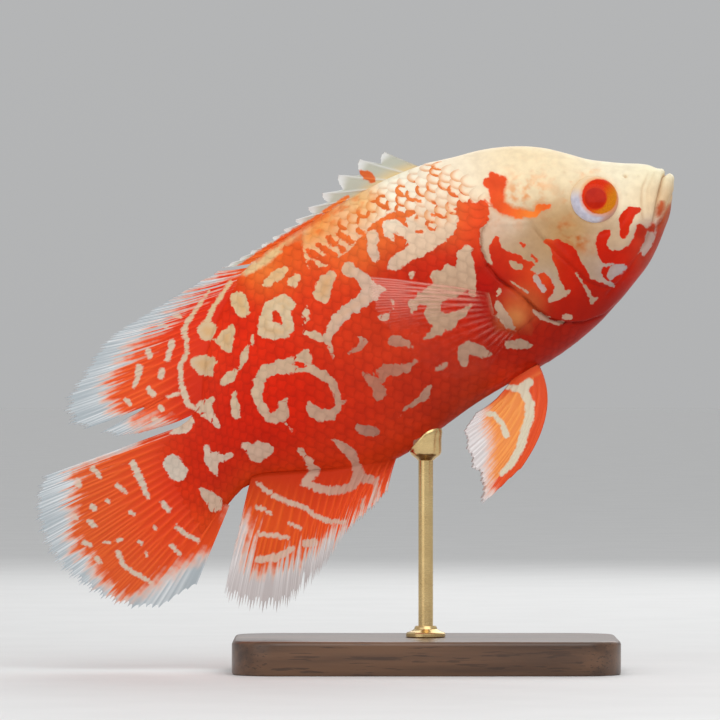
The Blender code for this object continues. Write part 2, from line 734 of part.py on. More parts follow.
def rounded_slab(name, length, width, low, high, corner, edge, finish):
    """A flat base with round corners and a bevelled top edge."""
    quarter = np.linspace(0, math.pi / 2, 7)
    ring = []
    for k, (sx, sy) in enumerate(((1, 1), (-1, 1), (-1, -1), (1, -1))):
        centre = np.array([sx * (length / 2 - corner), sy * (width / 2 - corner)])
        for a in quarter + k * math.pi / 2:
            ring.append((centre, np.array([math.cos(a), math.sin(a)])))
    layers = ((low, 0.4), (low + 0.4, 0.0), (high - edge, 0.0), (high - edge * 0.3, edge * 0.3), (high, edge))
    points = [(*(c + d * (corner - inset)), z) for z, inset in layers for c, d in ring]
    count = len(ring)
    faces = ring_faces(len(layers), count)
    faces.append(tuple(range(count - 1, -1, -1)))
    faces.append(tuple(range((len(layers) - 1) * count, len(layers) * count)))
    made = mesh_object(name, np.array(points) * MM, faces, finish)
    face_outwards(made)
    return made


def turned(name, profile, finish=None):
    """A solid turned about the rod's axis from (radius, z) points, on that axis or round a bore."""
    turn = np.linspace(0, 2 * math.pi, ROD_ROUND, endpoint=False)
    closed = profile[0][0] > 0
    points = [(r * math.cos(a), r * math.sin(a), z) for r, z in profile for a in turn]
    faces = ring_faces(len(profile), ROD_ROUND)
    if closed:
        last = (len(profile) - 1) * ROD_ROUND
        for j in range(ROD_ROUND):
            k = (j + 1) % ROD_ROUND
            faces.append((last + j, last + k, k, j))
    made = mesh_object(name, np.array(points) * MM, faces, finish)
    work = bmesh.new()
    work.from_mesh(made.data)
    bmesh.ops.remove_doubles(work, verts=work.verts, dist=1e-6)
    bmesh.ops.recalc_face_normals(work, faces=work.faces)
    work.to_mesh(made.data)
    work.free()
    return made


def belly_over_rod():
    """The height in the world, in mm, of the belly right above the middle of the base."""
    station = np.linspace(110, 130, 400)
    spot = place(station, through(BELLY, station), 0.0) / MM
    return float(np.interp(0.0, spot[::-1, 0], spot[::-1, 2]))


def stand(wood, metal):
    rounded_slab("stand_base", BASE_LENGTH, BASE_WIDTH, 0.0, BASE_HEIGHT, BASE_CORNER, BASE_EDGE, wood)
    foot = BASE_HEIGHT + GAP
    bore = ROD_RADIUS + GAP
    neck = ROD_RADIUS + 1.3
    turned(
        "stand_collar",
        (
            (bore, foot), (COLLAR_RADIUS, foot), (COLLAR_RADIUS, foot + 1.4),
            (COLLAR_RADIUS - 0.8, foot + 2.0), (neck, foot + 2.6), (neck, foot + COLLAR_HEIGHT),
            (bore, foot + COLLAR_HEIGHT),
        ),
        metal,
    )
    top = belly_over_rod() - SADDLE_DEPTH - SADDLE_RADIUS * math.tan(PITCH)
    rod = ((0, foot), (ROD_RADIUS, foot), (ROD_RADIUS, top), (0, top))
    turned("stand_rod", rod, metal)
    under = top + GAP
    cup = (
        (0, under), (SADDLE_RADIUS - 1.6, under), (SADDLE_RADIUS, under + 1.6),
        (SADDLE_RADIUS, under + 14.0), (0, under + 14.0),
    )
    seat(turned("stand_saddle", cup, metal))


def build():
    for old in list(bpy.data.objects):
        bpy.data.objects.remove(old)
    flesh = material("red_and_cream_skin", (0.82, 0.20, 0.07), 0.4)
    membrane = material("fin_membrane", (0.86, 0.36, 0.20), 0.45)
    eye_finish = material("eye", (0.85, 0.22, 0.04), 0.1)
    wood = material("dark_wood", (0.16, 0.09, 0.05), 0.45)
    metal = material("brass", (0.72, 0.56, 0.30), 0.3, 1.0)
    head_parts(flesh, eye_finish)
    trunk_shape("trunk", finish=flesh)
    stalk_shape("tail_stalk", finish=flesh)
    dorsal_fins(membrane)
    anal_fin(membrane)
    tail_fin(membrane)
    for side, name in ((-1, "right"), (1, "left")):
        paired_fins(side, name, membrane)
    stand(wood, metal)
    for obj in bpy.data.objects:
        smooth(obj)


build()
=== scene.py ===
# %% [markdown]
# # A life-size oscar fish on a display stand
#
# A museum model of a red and cream oscar, swimming head up. The solid frame gives every size; this script
# dresses it: one skin over the whole body, scales that lie on it, fins with branching rays, moist eyes, and
# a wooden base with a brass rod. Sizes are in millimetres in the fish's own frame, in which station runs
# back from the snout, height runs up from the body's axis, and side is positive on the fish's left.

# %% Load the frame
import math

import bpy
import numpy as np
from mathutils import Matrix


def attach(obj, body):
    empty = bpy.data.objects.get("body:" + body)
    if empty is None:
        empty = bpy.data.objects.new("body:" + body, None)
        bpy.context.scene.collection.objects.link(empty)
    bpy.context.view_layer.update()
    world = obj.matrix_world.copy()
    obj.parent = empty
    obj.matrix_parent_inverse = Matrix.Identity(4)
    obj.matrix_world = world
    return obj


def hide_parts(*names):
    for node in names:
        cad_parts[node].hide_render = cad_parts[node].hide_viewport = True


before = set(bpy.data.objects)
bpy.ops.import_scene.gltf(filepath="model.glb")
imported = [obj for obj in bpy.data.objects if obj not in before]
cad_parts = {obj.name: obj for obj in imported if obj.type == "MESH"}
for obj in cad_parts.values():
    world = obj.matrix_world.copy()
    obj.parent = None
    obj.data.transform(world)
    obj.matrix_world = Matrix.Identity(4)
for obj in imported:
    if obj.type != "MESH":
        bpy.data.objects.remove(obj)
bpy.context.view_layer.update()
print("frame:", len(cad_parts), "nodes")

# %% [markdown]
# The fish was modelled level and then hung nose up over its base, with its tail swung a little aside.
# Keeping both steps in one small function lets every later piece be drawn in the level frame, where
# a scale row or a fin ray is easy to think about.

# %% Place the fish's own frame in the world
MM = 0.001
PITCH = math.radians(32.0)
SNOUT_X, SNOUT_Z = 87.0, 171.0
SWAY_START, SWAY_LENGTH, TAIL_SWAY = 105.0, 150.0, 7.0


def sway(station):
    """Sideways swing of the tail: grows with the square of the distance behind its start."""
    return TAIL_SWAY * np.clip((station - SWAY_START) / SWAY_LENGTH, 0, None) ** 2


def place(station, height, side):
    """World points in metres: the level frame turned nose up by PITCH about the snout."""
    station, height, side = np.broadcast_arrays(station, height, side)
    x = SNOUT_X - station * math.cos(PITCH) - height * math.sin(PITCH)
    z = SNOUT_Z - station * math.sin(PITCH) + height * math.cos(PITCH)
    return np.stack([x, side + sway(station), z], axis=-1) * MM


def through(points, at):
    """Smooth curve through (place, value) points: cubic Hermite pieces with averaged slopes."""
    x, y = np.array(points, float).T
    step = np.diff(x)
    slope = np.diff(y) / step
    inner = (slope[:-1] * step[1:] + slope[1:] * step[:-1]) / (step[1:] + step[:-1])
    tangent = np.concatenate([slope[:1], inner, slope[-1:]])
    at = np.clip(np.asarray(at, float), x[0], x[-1])
    i = np.clip(np.searchsorted(x, at, side="right") - 1, 0, len(step) - 1)
    t = (at - x[i]) / step[i]
    start = (1 + 2 * t) * (1 - t) ** 2 * y[i] + t * (1 - t) ** 2 * step[i] * tangent[i]
    end = t * t * (3 - 2 * t) * y[i + 1] + t * t * (t - 1) * step[i] * tangent[i + 1]
    return start + end


def rise(x, low, high):
    """Smooth step from 0 at low to 1 at high."""
    t = np.clip((x - low) / (high - low), 0, 1)
    return t * t * (3 - 2 * t)


# %% [markdown]
# ## Camera, light and floor
#
# The fish was photographed square on from its right, from far off, so a long lens at its own height gives
# the same flat view. The floor is a plain pale disc, and three soft lamps and a pale sky stand in for
# a studio: one big lamp above, because the real back is lit and the belly is in shade.

# %% Camera
FRAME_MM, CAMERA_FAR = 254.2, 2.6
CENTRE_X, CENTRE_Z = -23.2, 109.9
camera = bpy.data.objects.new("camera", bpy.data.cameras.new("camera"))
bpy.context.scene.collection.objects.link(camera)
camera.location = (CENTRE_X * MM, -CAMERA_FAR, CENTRE_Z * MM)
camera.rotation_euler = (math.pi / 2, 0, 0)
camera.data.sensor_width = 36.0
camera.data.lens = 36.0 * CAMERA_FAR / (FRAME_MM * MM)
camera.data.clip_start = 0.01
bpy.context.scene.camera = camera
print("lens", round(camera.data.lens, 1))

# %% Light
LAMPS = (
    ("key", (0.3, -0.85, 1.0), 1.3, 8.3),
    ("fill", (-0.9, -1.0, 0.45), 1.0, 2.4),
    ("back", (0.2, 0.95, 0.75), 0.9, 4.0),
)
for lamp_name, spot, size, power in LAMPS:
    lamp = bpy.data.objects.new(lamp_name, bpy.data.lights.new(lamp_name, "AREA"))
    lamp.data.size = size
    lamp.data.energy = power
    lamp.location = spot
    aim = np.array([0.0, 0.0, 0.1]) - np.array(spot)
    lamp.rotation_euler = (math.atan2(math.hypot(aim[0], aim[1]), -aim[2]), 0, math.atan2(-aim[0], aim[1]))
    bpy.context.scene.collection.objects.link(lamp)
SKY_LEVEL, SKY_ABOVE = 0.455, 0.58
sky = bpy.data.worlds.new("studio")
sky.use_nodes = True
towards = sky.node_tree.nodes.new("ShaderNodeTexCoord")
split = sky.node_tree.nodes.new("ShaderNodeSeparateXYZ")
height_ramp = sky.node_tree.nodes.new("ShaderNodeMapRange")
for socket, value in (("From Min", 0.0), ("From Max", 0.5), ("To Min", SKY_LEVEL), ("To Max", SKY_ABOVE)):
    height_ramp.inputs[socket].default_value = value
sky.node_tree.links.new(towards.outputs["Generated"], split.inputs[0])
sky.node_tree.links.new(split.outputs["Z"], height_ramp.inputs["Value"])
sky.node_tree.links.new(height_ramp.outputs["Result"], sky.node_tree.nodes["Background"].inputs["Strength"])
sky.node_tree.nodes["Background"].inputs["Color"].default_value = (0.98, 0.99, 1.0, 1)
bpy.context.scene.world = sky
bpy.context.scene.view_settings.view_transform = "Standard"
print("lamps", len(LAMPS))


# %% Mesh helpers
def mesh_piece(name, points, faces, floats=None, colours=None):
    """A mesh object from world points and a list or array of faces, with its per-point attributes."""
    mesh = bpy.data.meshes.new(name)
    mesh.from_pydata(np.asarray(points, float).tolist(), [], [tuple(f) for f in faces])
    for key, values in (floats or {}).items():
        layer = mesh.attributes.new(key, "FLOAT", "POINT")
        layer.data.foreach_set("value", np.ascontiguousarray(values, np.float32).ravel())
    for key, values in (colours or {}).items():
        layer = mesh.attributes.new(key, "FLOAT_COLOR", "POINT")
        full = np.ones((len(points), 4), np.float32)
        full[:, :3] = np.asarray(values).reshape(-1, 3)
        layer.data.foreach_set("color", full.ravel())
    mesh.shade_smooth()
    mesh.update()
    piece = bpy.data.objects.new(name, mesh)
    bpy.context.scene.collection.objects.link(piece)
    return piece


def sheet_faces(rows, columns, closed=False):
    """Quads of a grid of points, row by row; closed joins the last column to the first."""
    last = columns if closed else columns - 1
    i, j = np.meshgrid(np.arange(rows - 1), np.arange(last), indexing="ij")
    k = (j + 1) % columns
    quads = [i * columns + j, i * columns + k, (i + 1) * columns + k, (i + 1) * columns + j]
    return np.stack(quads, axis=-1).reshape(-1, 4)


def closed_faces(rows, columns):
    """Faces of stacked closed rings, with a fan at either end to one more point, the first end's first."""
    last = (rows - 1) * columns
    first_fan = [((j + 1) % columns, j, rows * columns) for j in range(columns)]
    last_fan = [(last + j, last + (j + 1) % columns, rows * columns + 1) for j in range(columns)]
    return sheet_faces(rows, columns, closed=True).tolist() + first_fan + last_fan


def lay_map(piece, uv):
    """The piece's own map, one place for every point, which its baked colours will use."""
    layer = piece.data.uv_layers.new(name="OFBake")
    corner = np.zeros(len(piece.data.loops), np.int32)
    piece.data.loops.foreach_get("vertex_index", corner)
    layer.data.foreach_set("uv", np.asarray(uv, np.float32)[corner].ravel())


def dress(piece, finish, slot, *nodes):
    """Gives a piece its finish, ties it to the model and hides the plain solids that it stands for."""
    piece.data.materials.append(finish)
    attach(piece, "root")
    if nodes:
        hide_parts(*nodes)
    print(piece.name, len(piece.data.polygons), "faces")


# %% Node helpers
def new_finish(name):
    """An empty node material with one Principled shader, returned with its tree."""
    finish = bpy.data.materials.new(name)
    finish.use_nodes = True
    return finish, finish.node_tree, finish.node_tree.nodes["Principled BSDF"]


def node(tree, kind, links=(), **settings):
    """Adds a node; settings are its properties, and links are (input, value or output socket) pairs."""
    made = tree.nodes.new(kind)
    for key, value in settings.items():
        setattr(made, key, value)
    for socket, value in links:
        if isinstance(value, bpy.types.NodeSocket):
            tree.links.new(value, made.inputs[socket])
        else:
            made.inputs[socket].default_value = value
    return made


def noise(tree, size, detail=3.0):
    """Noise with features of a size in millimetres, around zero."""
    where = node(tree, "ShaderNodeTexCoord").outputs["Object"]
    made = node(tree, "ShaderNodeTexNoise", (("Vector", where), ("Scale", 1 / (size * MM)), ("Detail", detail)))
    return maths(tree, "SUBTRACT", made.outputs["Fac"], 0.5)


def maths(tree, operation, a, b, c=None):
    """One Math node of two or three inputs, each a number or another node's output."""
    links = ((0, a), (1, b)) if c is None else ((0, a), (1, b), (2, c))
    return node(tree, "ShaderNodeMath", links, operation=operation).outputs[0]


def ramp(tree, value, low, high):
    """0 below low and 1 above high, smooth between."""
    made = node(
        tree, "ShaderNodeMapRange", (("Value", value), ("From Min", low), ("From Max", high)),
        interpolation_type="SMOOTHSTEP",
    )
    return made.outputs["Result"]


def blend_colours(tree, share, a, b, blend="MIX"):
    """Colour a blended with colour b by a share; each is a value or another node's output."""
    links = (("Factor", share), (6, a), (7, b))
    return node(tree, "ShaderNodeMix", links, data_type="RGBA", blend_type=blend).outputs[2]


def attribute(tree, name, output="Fac"):
    """A number, or with output Color a colour, that the mesh carries at its points."""
    return node(tree, "ShaderNodeAttribute", attribute_name=name).outputs[output]


def bumps(tree, shader, height, strength, distance):
    """Fine unevenness in the shading: a height of 1 stands for a distance in millimetres."""
    made = node(
        tree, "ShaderNodeBump", (("Height", height), ("Strength", strength), ("Distance", distance * MM))
    )
    tree.links.new(made.outputs["Normal"], shader.inputs["Normal"])


# %% Floor
FLOOR_RADIUS, FLOOR_SIDES = 14.0, 96
floor_turn = np.linspace(0, 2 * math.pi, FLOOR_SIDES + 1)[:-1]
floor_points = FLOOR_RADIUS * np.stack([np.cos(floor_turn), np.sin(floor_turn), 0 * floor_turn], axis=1)
floor = mesh_piece("floor", floor_points, [tuple(range(FLOOR_SIDES))])
floor_finish, floor_tree, floor_shader = new_finish("pale_floor")
floor_grain = noise(floor_tree, 40.0)
floor_tone = blend_colours(
    floor_tree, ramp(floor_tree, floor_grain, -0.3, 0.3), (0.75, 0.75, 0.745, 1), (0.78, 0.78, 0.775, 1)
)
floor_tree.links.new(floor_tone, floor_shader.inputs["Base Color"])
floor_shader.inputs["Roughness"].default_value = 0.7
floor.data.materials.append(floor_finish)

# %% [markdown]
# ## The body's form
#
# The body is a loft: at every station the section is a superellipse, and its top, bottom and greatest
# half width are smooth curves through a few measured places. The same curves made the solid frame, so
# the skin lies where the frame does. An oscar is deep and narrow, with a blunt snout.

# %% Outline curves
NOSE, NOSE_HEIGHT, NOSE_ROUND, TAIL_END = -1.3, 3.4, 5.0, 206.5
BACK = (
    (-1.3, 7.2), (0.2, 8.0), (1.5, 9.6), (5, 12.7), (10, 16.1), (15, 19.9), (20, 24.0), (25, 29.4),
    (30, 34.6), (35, 38.7), (40, 41.9), (50, 46.8), (60, 50.1), (70, 53.4), (80, 55.4), (95, 56.9),
    (115, 57.2), (135, 56.6), (147, 54.4), (156, 50.4), (164, 45.0), (171, 38.6), (177, 31.4),
    (182, 24.6), (187, 21.4), (194, 20.6), (205, 21.0), (207, 21.0),
)
BELLY = (
    (-1.3, -1.9), (0, -2.9), (3, -4.5), (5, -6.9), (10, -11.1), (15, -14.8), (20, -17.9), (30, -21.9),
    (40, -25.2), (50, -27.7), (60, -29.1), (72, -29.4), (85, -28.6), (100, -28.4), (112, -29.2),
    (122, -30.0), (131, -30.2), (140, -28.6), (150, -25.0), (160, -20.2), (170, -14.8), (178, -11.0),
    (184, -10.1), (190, -11.4), (197, -14.2), (205, -18.0), (207, -18.6),
)
HALF_WIDTH = (
    (-1.3, 7.2), (3, 8.9), (6, 10.2), (10, 11.9), (20, 14.9), (30, 16.8), (42, 18.4), (55, 19.4),
    (68, 19.4), (85, 19.2), (100, 18.6), (115, 17.2), (130, 15.0), (145, 12.1), (160, 9.1),
    (175, 6.6), (187, 4.8), (194, 3.2), (200, 1.9), (205, 1.0), (207, 0.6),
)
WIDEST_SHARE = (
    (-1.3, 0.52), (10, 0.42), (30, 0.40), (60, 0.38), (100, 0.38), (150, 0.42), (185, 0.48), (205, 0.5),
)
ROUNDNESS = ((-1.3, 2.0), (30, 2.05), (60, 2.0), (110, 1.95), (160, 1.85), (185, 2.1), (205, 2.2))


def section(station):
    """Top, bottom, half width, widest height and roundness at a station, closing roundly at the snout."""
    small = np.sqrt(1 - (1 - np.clip((station - NOSE) / NOSE_ROUND, 0, 1)) ** 2)
    top = NOSE_HEIGHT + (through(BACK, station) - NOSE_HEIGHT) * small
    bottom = NOSE_HEIGHT + (through(BELLY, station) - NOSE_HEIGHT) * small
    widest = bottom + through(WIDEST_SHARE, station) * (top - bottom)
    return top, bottom, through(HALF_WIDTH, station) * small, widest, through(ROUNDNESS, station)


def half_at(station, height):
    """Half width at a station and height, from the superellipse's equation."""
    top, bottom, half, widest, power = section(station)
    reach = np.where(height > widest, top - widest, widest - bottom)
    share = np.clip(np.abs(height - widest) / np.maximum(reach, 1e-6), 0, 1)
    return half * (1 - share**power) ** (1 / power)


def flank_rings(station, columns):
    """Height and side of rings down one flank, at even steps of girth from the ridge to the belly."""
    angle = np.linspace(math.pi / 2, -math.pi / 2, 1201)
    top, bottom, half, widest, power = (v[:, None] for v in section(station))
    c, s = np.abs(np.cos(angle)), np.sin(angle)
    side = half * c ** (2 / power)
    height = widest + np.where(s > 0, top - widest, widest - bottom) * np.sign(s) * np.abs(s) ** (2 / power)
    run = np.concatenate([0 * top, np.hypot(np.diff(height), np.diff(side)).cumsum(axis=1)], axis=1)
    even = np.linspace(0, 1, columns + 1)
    heights = np.array([np.interp(even * r[-1], r, row) for r, row in zip(run, height)])
    sides = np.array([np.interp(even * r[-1], r, row) for r, row in zip(run, side)])
    sides[:, 0] = 0
    sides[:, -1] = 0
    return heights, sides, run[:, -1]


# %% [markdown]
# ## Distances in the side view
#
# Lips, gill slit and markings all follow lines that are easy to see from the side. Each is a short path
# of places read from the fish, and what the mesh needs is how far a point lies from it. One function
# measures that for a path of round strokes, and one for a closed outline.

# %% Distance to paths and outlines
def from_path(s, h, path):
    """Distance to a path of (station, height) places, its sign (above it is positive) and share along."""
    path = np.array(path, float)[:, :2]
    best = np.full(np.shape(s), 1e9)
    sign = np.ones(np.shape(s))
    share = np.zeros(np.shape(s))
    for k in range(len(path) - 1):
        a, run = path[k], path[k + 1] - path[k]
        t = np.clip(((s - a[0]) * run[0] + (h - a[1]) * run[1]) / run.dot(run), 0, 1)
        off_s, off_h = s - a[0] - t * run[0], h - a[1] - t * run[1]
        far = np.hypot(off_s, off_h)
        closer = far < best
        best = np.where(closer, far, best)
        sign = np.where(closer, np.sign(run[0] * off_h - run[1] * off_s), sign)
        share = np.where(closer, (k + t) / (len(path) - 1), share)
    return best, sign, share


def stroke(s, h, path):
    """How far inside a brush stroke a point lies, in mm: its radius there less the distance to it."""
    path = np.array(path, float)
    if len(path) == 1:
        return path[0, 2] - np.hypot(s - path[0, 0], h - path[0, 1])
    best = np.full(np.shape(s), -1e9)
    for a, b in zip(path[:-1], path[1:]):
        run = b[:2] - a[:2]
        t = np.clip(((s - a[0]) * run[0] + (h - a[1]) * run[1]) / run.dot(run), 0, 1)
        inside = a[2] + t * (b[2] - a[2]) - np.hypot(s - a[0] - t * run[0], h - a[1] - t * run[1])
        best = np.maximum(best, inside)
    return best


def strokes(s, h, paths):
    """How far inside the nearest of several brush strokes a point lies, in mm."""
    best = np.full(np.shape(s), -1e9)
    for path in paths:
        best = np.maximum(best, stroke(s, h, path))
    return best


def outline(s, h, places):
    """Signed distance to a closed outline in mm, positive inside, by nearest side and crossing count."""
    places = np.array(places, float)
    best = np.full(np.shape(s), 1e9)
    inside = np.zeros(np.shape(s), bool)
    for a, b in zip(places, np.roll(places, -1, axis=0)):
        run = b - a
        t = np.clip(((s - a[0]) * run[0] + (h - a[1]) * run[1]) / run.dot(run), 0, 1)
        best = np.minimum(best, np.hypot(s - a[0] - t * run[0], h - a[1] - t * run[1]))
        crosses = (a[1] > h) != (b[1] > h)
        if b[1] != a[1]:
            inside ^= crosses & (s < (b[0] - a[0]) * (h - a[1]) / (b[1] - a[1]) + a[0])
    return np.where(inside, best, -best)


# %% [markdown]
# ## The head's relief
#
# On a real oscar the lips are thick and fleshy, the lower jaw stands a little further out, a crease runs
# behind the upper lip, the gill cover ends in a free edge over a slit, and the eye sits in a shallow
# ring. They are modelled as one height above the smooth body, so that the whole head stays one skin.

# %% Relief
MOUTH_LINE = ((-1.4, 5.3), (1.0, 4.8), (4.0, 2.2), (7.5, -1.2), (10.5, -4.5), (12.4, -6.7))
LIP_CREASE = ((1.5, 9.2), (3.1, 7.5), (8.1, 3.9), (10.9, 0.0), (12.6, -3.3), (13.9, -6.6))
CHIN_CREASE = ((0.5, -2.0), (4.0, -3.4), (7.5, -6.3), (11.0, -8.8), (13.5, -9.6))
GILL_EDGE = (
    (59, 24.6), (62.5, 23.8), (66.0, 21.5), (68.6, 17), (70.0, 11), (69.0, 5), (66.6, -1), (64.8, -6),
    (63.5, -11), (61.5, -16), (58, -20), (52, -23.4), (44, -25.0), (34, -23.2),
)
CHEEK_EDGE = ((50, 16), (49, 8), (47, 0), (45.5, -6), (44, -12), (40, -17), (33, -19.5))
COVER_FOLD = ((48.5, 16.2), (52, 17.2), (56, 19.2), (60.5, 22.0))
JAW_CREASE = ((40, -20.0), (30, -17.0), (18, -11.5), (14, -8.5))
SCALED_COVER = (
    (48, 14), (46.5, 2), (45, -8), (41, -15), (52, -22), (60, -17), (64.5, -5), (67, 6), (66, 16), (58, 18),
    (52, 14.5),
)
SCALED_CHEEK = ((44.5, 14), (43, 2), (41, -8), (36, -16), (27, -12), (31, -4), (38, 3), (40, 12))
EYE = (26.0, 10.9)
EYE_RADIUS, EYE_BULGE, EYE_SINK = 8.7, 5.0, 1.3
NOSTRIL = (12.3, 12.0)
LOBE, LOBE_SIZE = (71.3, -6.3), (6.0, 8.6)
PORES = (
    (47.6, 22.5), (43.7, 21.4), (40.2, 19.6), (37.5, 4.5), (39.2, -2.0), (36.5, -9.5), (30.5, -14.0),
    (23.0, -15.5), (19.0, 17.5), (15.5, 6.0), (8.5, 9.6), (30.0, 24.5), (38.0, 30.0),
)


def lobe_share(s, h):
    """Squared distance from the middle of the breast fin's fleshy lobe, 1 at its edge."""
    return ((s - LOBE[0]) / LOBE_SIZE[0]) ** 2 + ((h - LOBE[1]) / LOBE_SIZE[1]) ** 2


def relief(s, h):
    """Height of the skin above the smooth body in mm, the sum of ridges, creases and pits."""
    far, sign, share = from_path(s, h, MOUTH_LINE)
    d = far * sign
    lips = 1 - 0.6 * rise(share, 0.6, 1.0)
    lips = lips * np.exp(-(np.clip(far - 4.4, 0, None) / 1.0) ** 2)
    past = np.hypot(s - MOUTH_LINE[-1][0], h - MOUTH_LINE[-1][1]) * (share > 0.999)
    end = np.exp(-((past / 1.3) ** 2))
    total = lips * end * (
        0.85 * np.exp(-(((d - 1.75) / 1.25) ** 2)) + 1.2 * np.exp(-(((d + 2.2) / 1.8) ** 2))
    )
    total -= 1.6 * end * np.exp(-((far / 0.5) ** 2)) * (1 - 0.5 * share)
    far, sign, share = from_path(s, h, LIP_CREASE)
    fade = 1 - rise(share, 0.8, 1.0)
    total -= 0.38 * np.exp(-((far / 0.45) ** 2)) * rise(share, 0.0, 0.2) * fade
    total -= 0.5 * np.exp(-(((far * sign - 2.1) / 0.45) ** 2)) * rise(share, 0.05, 0.4) * fade
    far, _, _ = from_path(s, h, CHIN_CREASE)
    total -= 0.4 * np.exp(-((far / 0.5) ** 2))
    return total + relief_of_cover(s, h) + relief_of_face(s, h)


def relief_of_cover(s, h):
    """The gill cover's raised free edge over its slit, the cheek's edge and the fold above the cover."""
    far, sign, share = from_path(s, h, GILL_EDGE)
    ahead = -far * sign
    ends = rise(share, 0.0, 0.12) * (1 - rise(share, 0.86, 1.0))
    total = ends * 0.85 * rise(ahead, -0.25, 0.2) * np.exp(-np.clip(ahead, 0, None) / 9.0)
    total -= ends * 0.8 * np.exp(-(((ahead + 0.55) / 0.5) ** 2))
    far, sign, share = from_path(s, h, CHEEK_EDGE)
    total -= 0.5 * np.exp(-((far / 0.55) ** 2)) * rise(share, 0, 0.1) * (1 - rise(share, 0.85, 1))
    total += 0.3 * np.exp(-(((far * sign + 1.2) / 1.2) ** 2)) * rise(share, 0, 0.1) * (share < 1)
    far, _, _ = from_path(s, h, COVER_FOLD)
    total += 0.4 * np.exp(-((far / 0.8) ** 2))
    far, _, _ = from_path(s, h, JAW_CREASE)
    return total - 0.35 * np.exp(-((far / 0.6) ** 2))


def relief_of_face(s, h):
    """Eye socket and rim, nostril, pores, cheek, and the lobe that carries the breast fin."""
    r = np.hypot(s - EYE[0], h - EYE[1])
    total = 0.5 * np.exp(-(((r - 9.9) / 1.1) ** 2)) - 3.2 * (1 - rise(r, 6.6, 8.3))
    total -= 0.25 * np.exp(-(((r - 12.6) / 0.7) ** 2)) * rise(-h, -9.0, 0.0)
    r = np.hypot(s - NOSTRIL[0], h - NOSTRIL[1])
    total += 0.3 * np.exp(-(((r - 1.25) / 0.45) ** 2)) - 0.85 * np.exp(-((r / 0.7) ** 2))
    for pore in PORES:
        total -= 0.3 * np.exp(-((s - pore[0]) ** 2 + (h - pore[1]) ** 2) / 0.45**2)
    total += 0.7 * np.exp(-(((s - 37) / 9) ** 2) - ((h + 5) / 9) ** 2)
    total -= 0.6 * np.exp(-(((s - 17.5) / 4) ** 2) - ((h + 8) / 4) ** 2)
    total += 2.6 * np.clip(1 - lobe_share(s, h), 0, 1) ** 0.65
    return total + 0.5 * np.exp(-(((s - 123.5) / 2.2) ** 2) - ((h + 29) / 3) ** 2)


def small_scales(s, h):
    """The low, small scales of cheek and gill cover: staggered domes 2.3 mm apart, the higher of two sets."""
    across, along_row = 2.0, 2.3
    best = np.full(np.shape(s), -9.0)
    for shift in (0.0, 0.5):
        row = (h - 0.22 * s) / across / 2 + shift
        part = s / along_row + shift
        a, b = part - np.round(part), row - np.round(row)
        best = np.maximum(best, 1 - (a / 0.62) ** 2 - (b / 0.62) ** 2 + 0.35 * a)
    here = np.maximum(
        rise(outline(s, h, SCALED_COVER), 0.5, 3.0), rise(outline(s, h, SCALED_CHEEK), 0.3, 2.0),
    )
    return 0.085 * here * best


# %% [markdown]
# ## The skin's grid
#
# Rows are stations and columns are even shares of the girth, so both flanks are one grid. Rows are close
# together on the head, where the relief is fine, and wider apart on the trunk, where scales cover it.
# Where there are scales the skin is sunk by their depth, so that the coat ends where the body does.

# %% Skin grid
FLANK = 160
COAT_DEPTH = 0.22
stations = np.concatenate([
    NOSE + NOSE_ROUND * (1 - np.cos(np.linspace(0.07, math.pi / 2, 20))),
    np.arange(3.7 + 0.42, 30, 0.42),
    np.arange(30, 72, 0.5),
    np.arange(72, 150, 1.3),
    np.arange(150, TAIL_END, 1.15),
    [TAIL_END],
])
ring_height, ring_side, girth = flank_rings(stations, FLANK)
ring_station = stations[:, None] + 0 * ring_height


def outward(s, h, y):
    """Unit normals of a flank grid, from the cross product of its two directions."""
    points = np.stack([s, h, y], axis=-1)
    across = np.gradient(points, axis=1)
    along = np.gradient(points, stations, axis=0)
    normal = np.cross(along, across)
    normal[:, (0, -1), 2] = 0
    return normal / (np.linalg.norm(normal, axis=-1, keepdims=True) + 1e-12)


normals = outward(ring_station, ring_height, ring_side)
if normals[len(stations) // 2, FLANK // 2, 2] < 0:
    normals = -normals
lift = relief(ring_station, ring_height) + small_scales(ring_station, ring_height)
lift -= COAT_DEPTH * rise(ring_station, 40, 60)
skin = np.stack([ring_station, ring_height, ring_side], axis=-1) + normals * lift[..., None]
skin[:, (0, -1), 2] = 0
print("skin grid", skin.shape, "relief", round(float(lift.min()), 2), round(float(lift.max()), 2))


def on_skin(s, w):
    """Skin place and normal at a station and a share of girth, by bilinear reading of the grid."""
    i = np.clip(np.searchsorted(stations, s, side="right") - 1, 0, len(stations) - 2)
    u = ((s - stations[i]) / (stations[i + 1] - stations[i]))[..., None]
    j = np.clip((w * FLANK).astype(int), 0, FLANK - 1)
    v = (w * FLANK - j)[..., None]
    both = np.concatenate([skin, normals], axis=-1)
    low = both[i, j] * (1 - v) + both[i, j + 1] * v
    high = both[i + 1, j] * (1 - v) + both[i + 1, j + 1] * v
    mixed = low * (1 - u) + high * u
    return mixed[..., :3], mixed[..., 3:]


# %% [markdown]
# ## Markings
#
# Every red oscar is marked differently. Here the head and back are pale cream, and cream rings, hooks and
# spots stand on a red flank. They are drawn as brush strokes in the side view: each stroke is a path of
# (station, height, radius) places. Distances to the strokes go on the mesh, and the finish turns them
# into crisp, slightly ragged edges. The hidden side carries the same strokes, bent by a slow wave,
# because an oscar's two sides are alike but never mirrored.

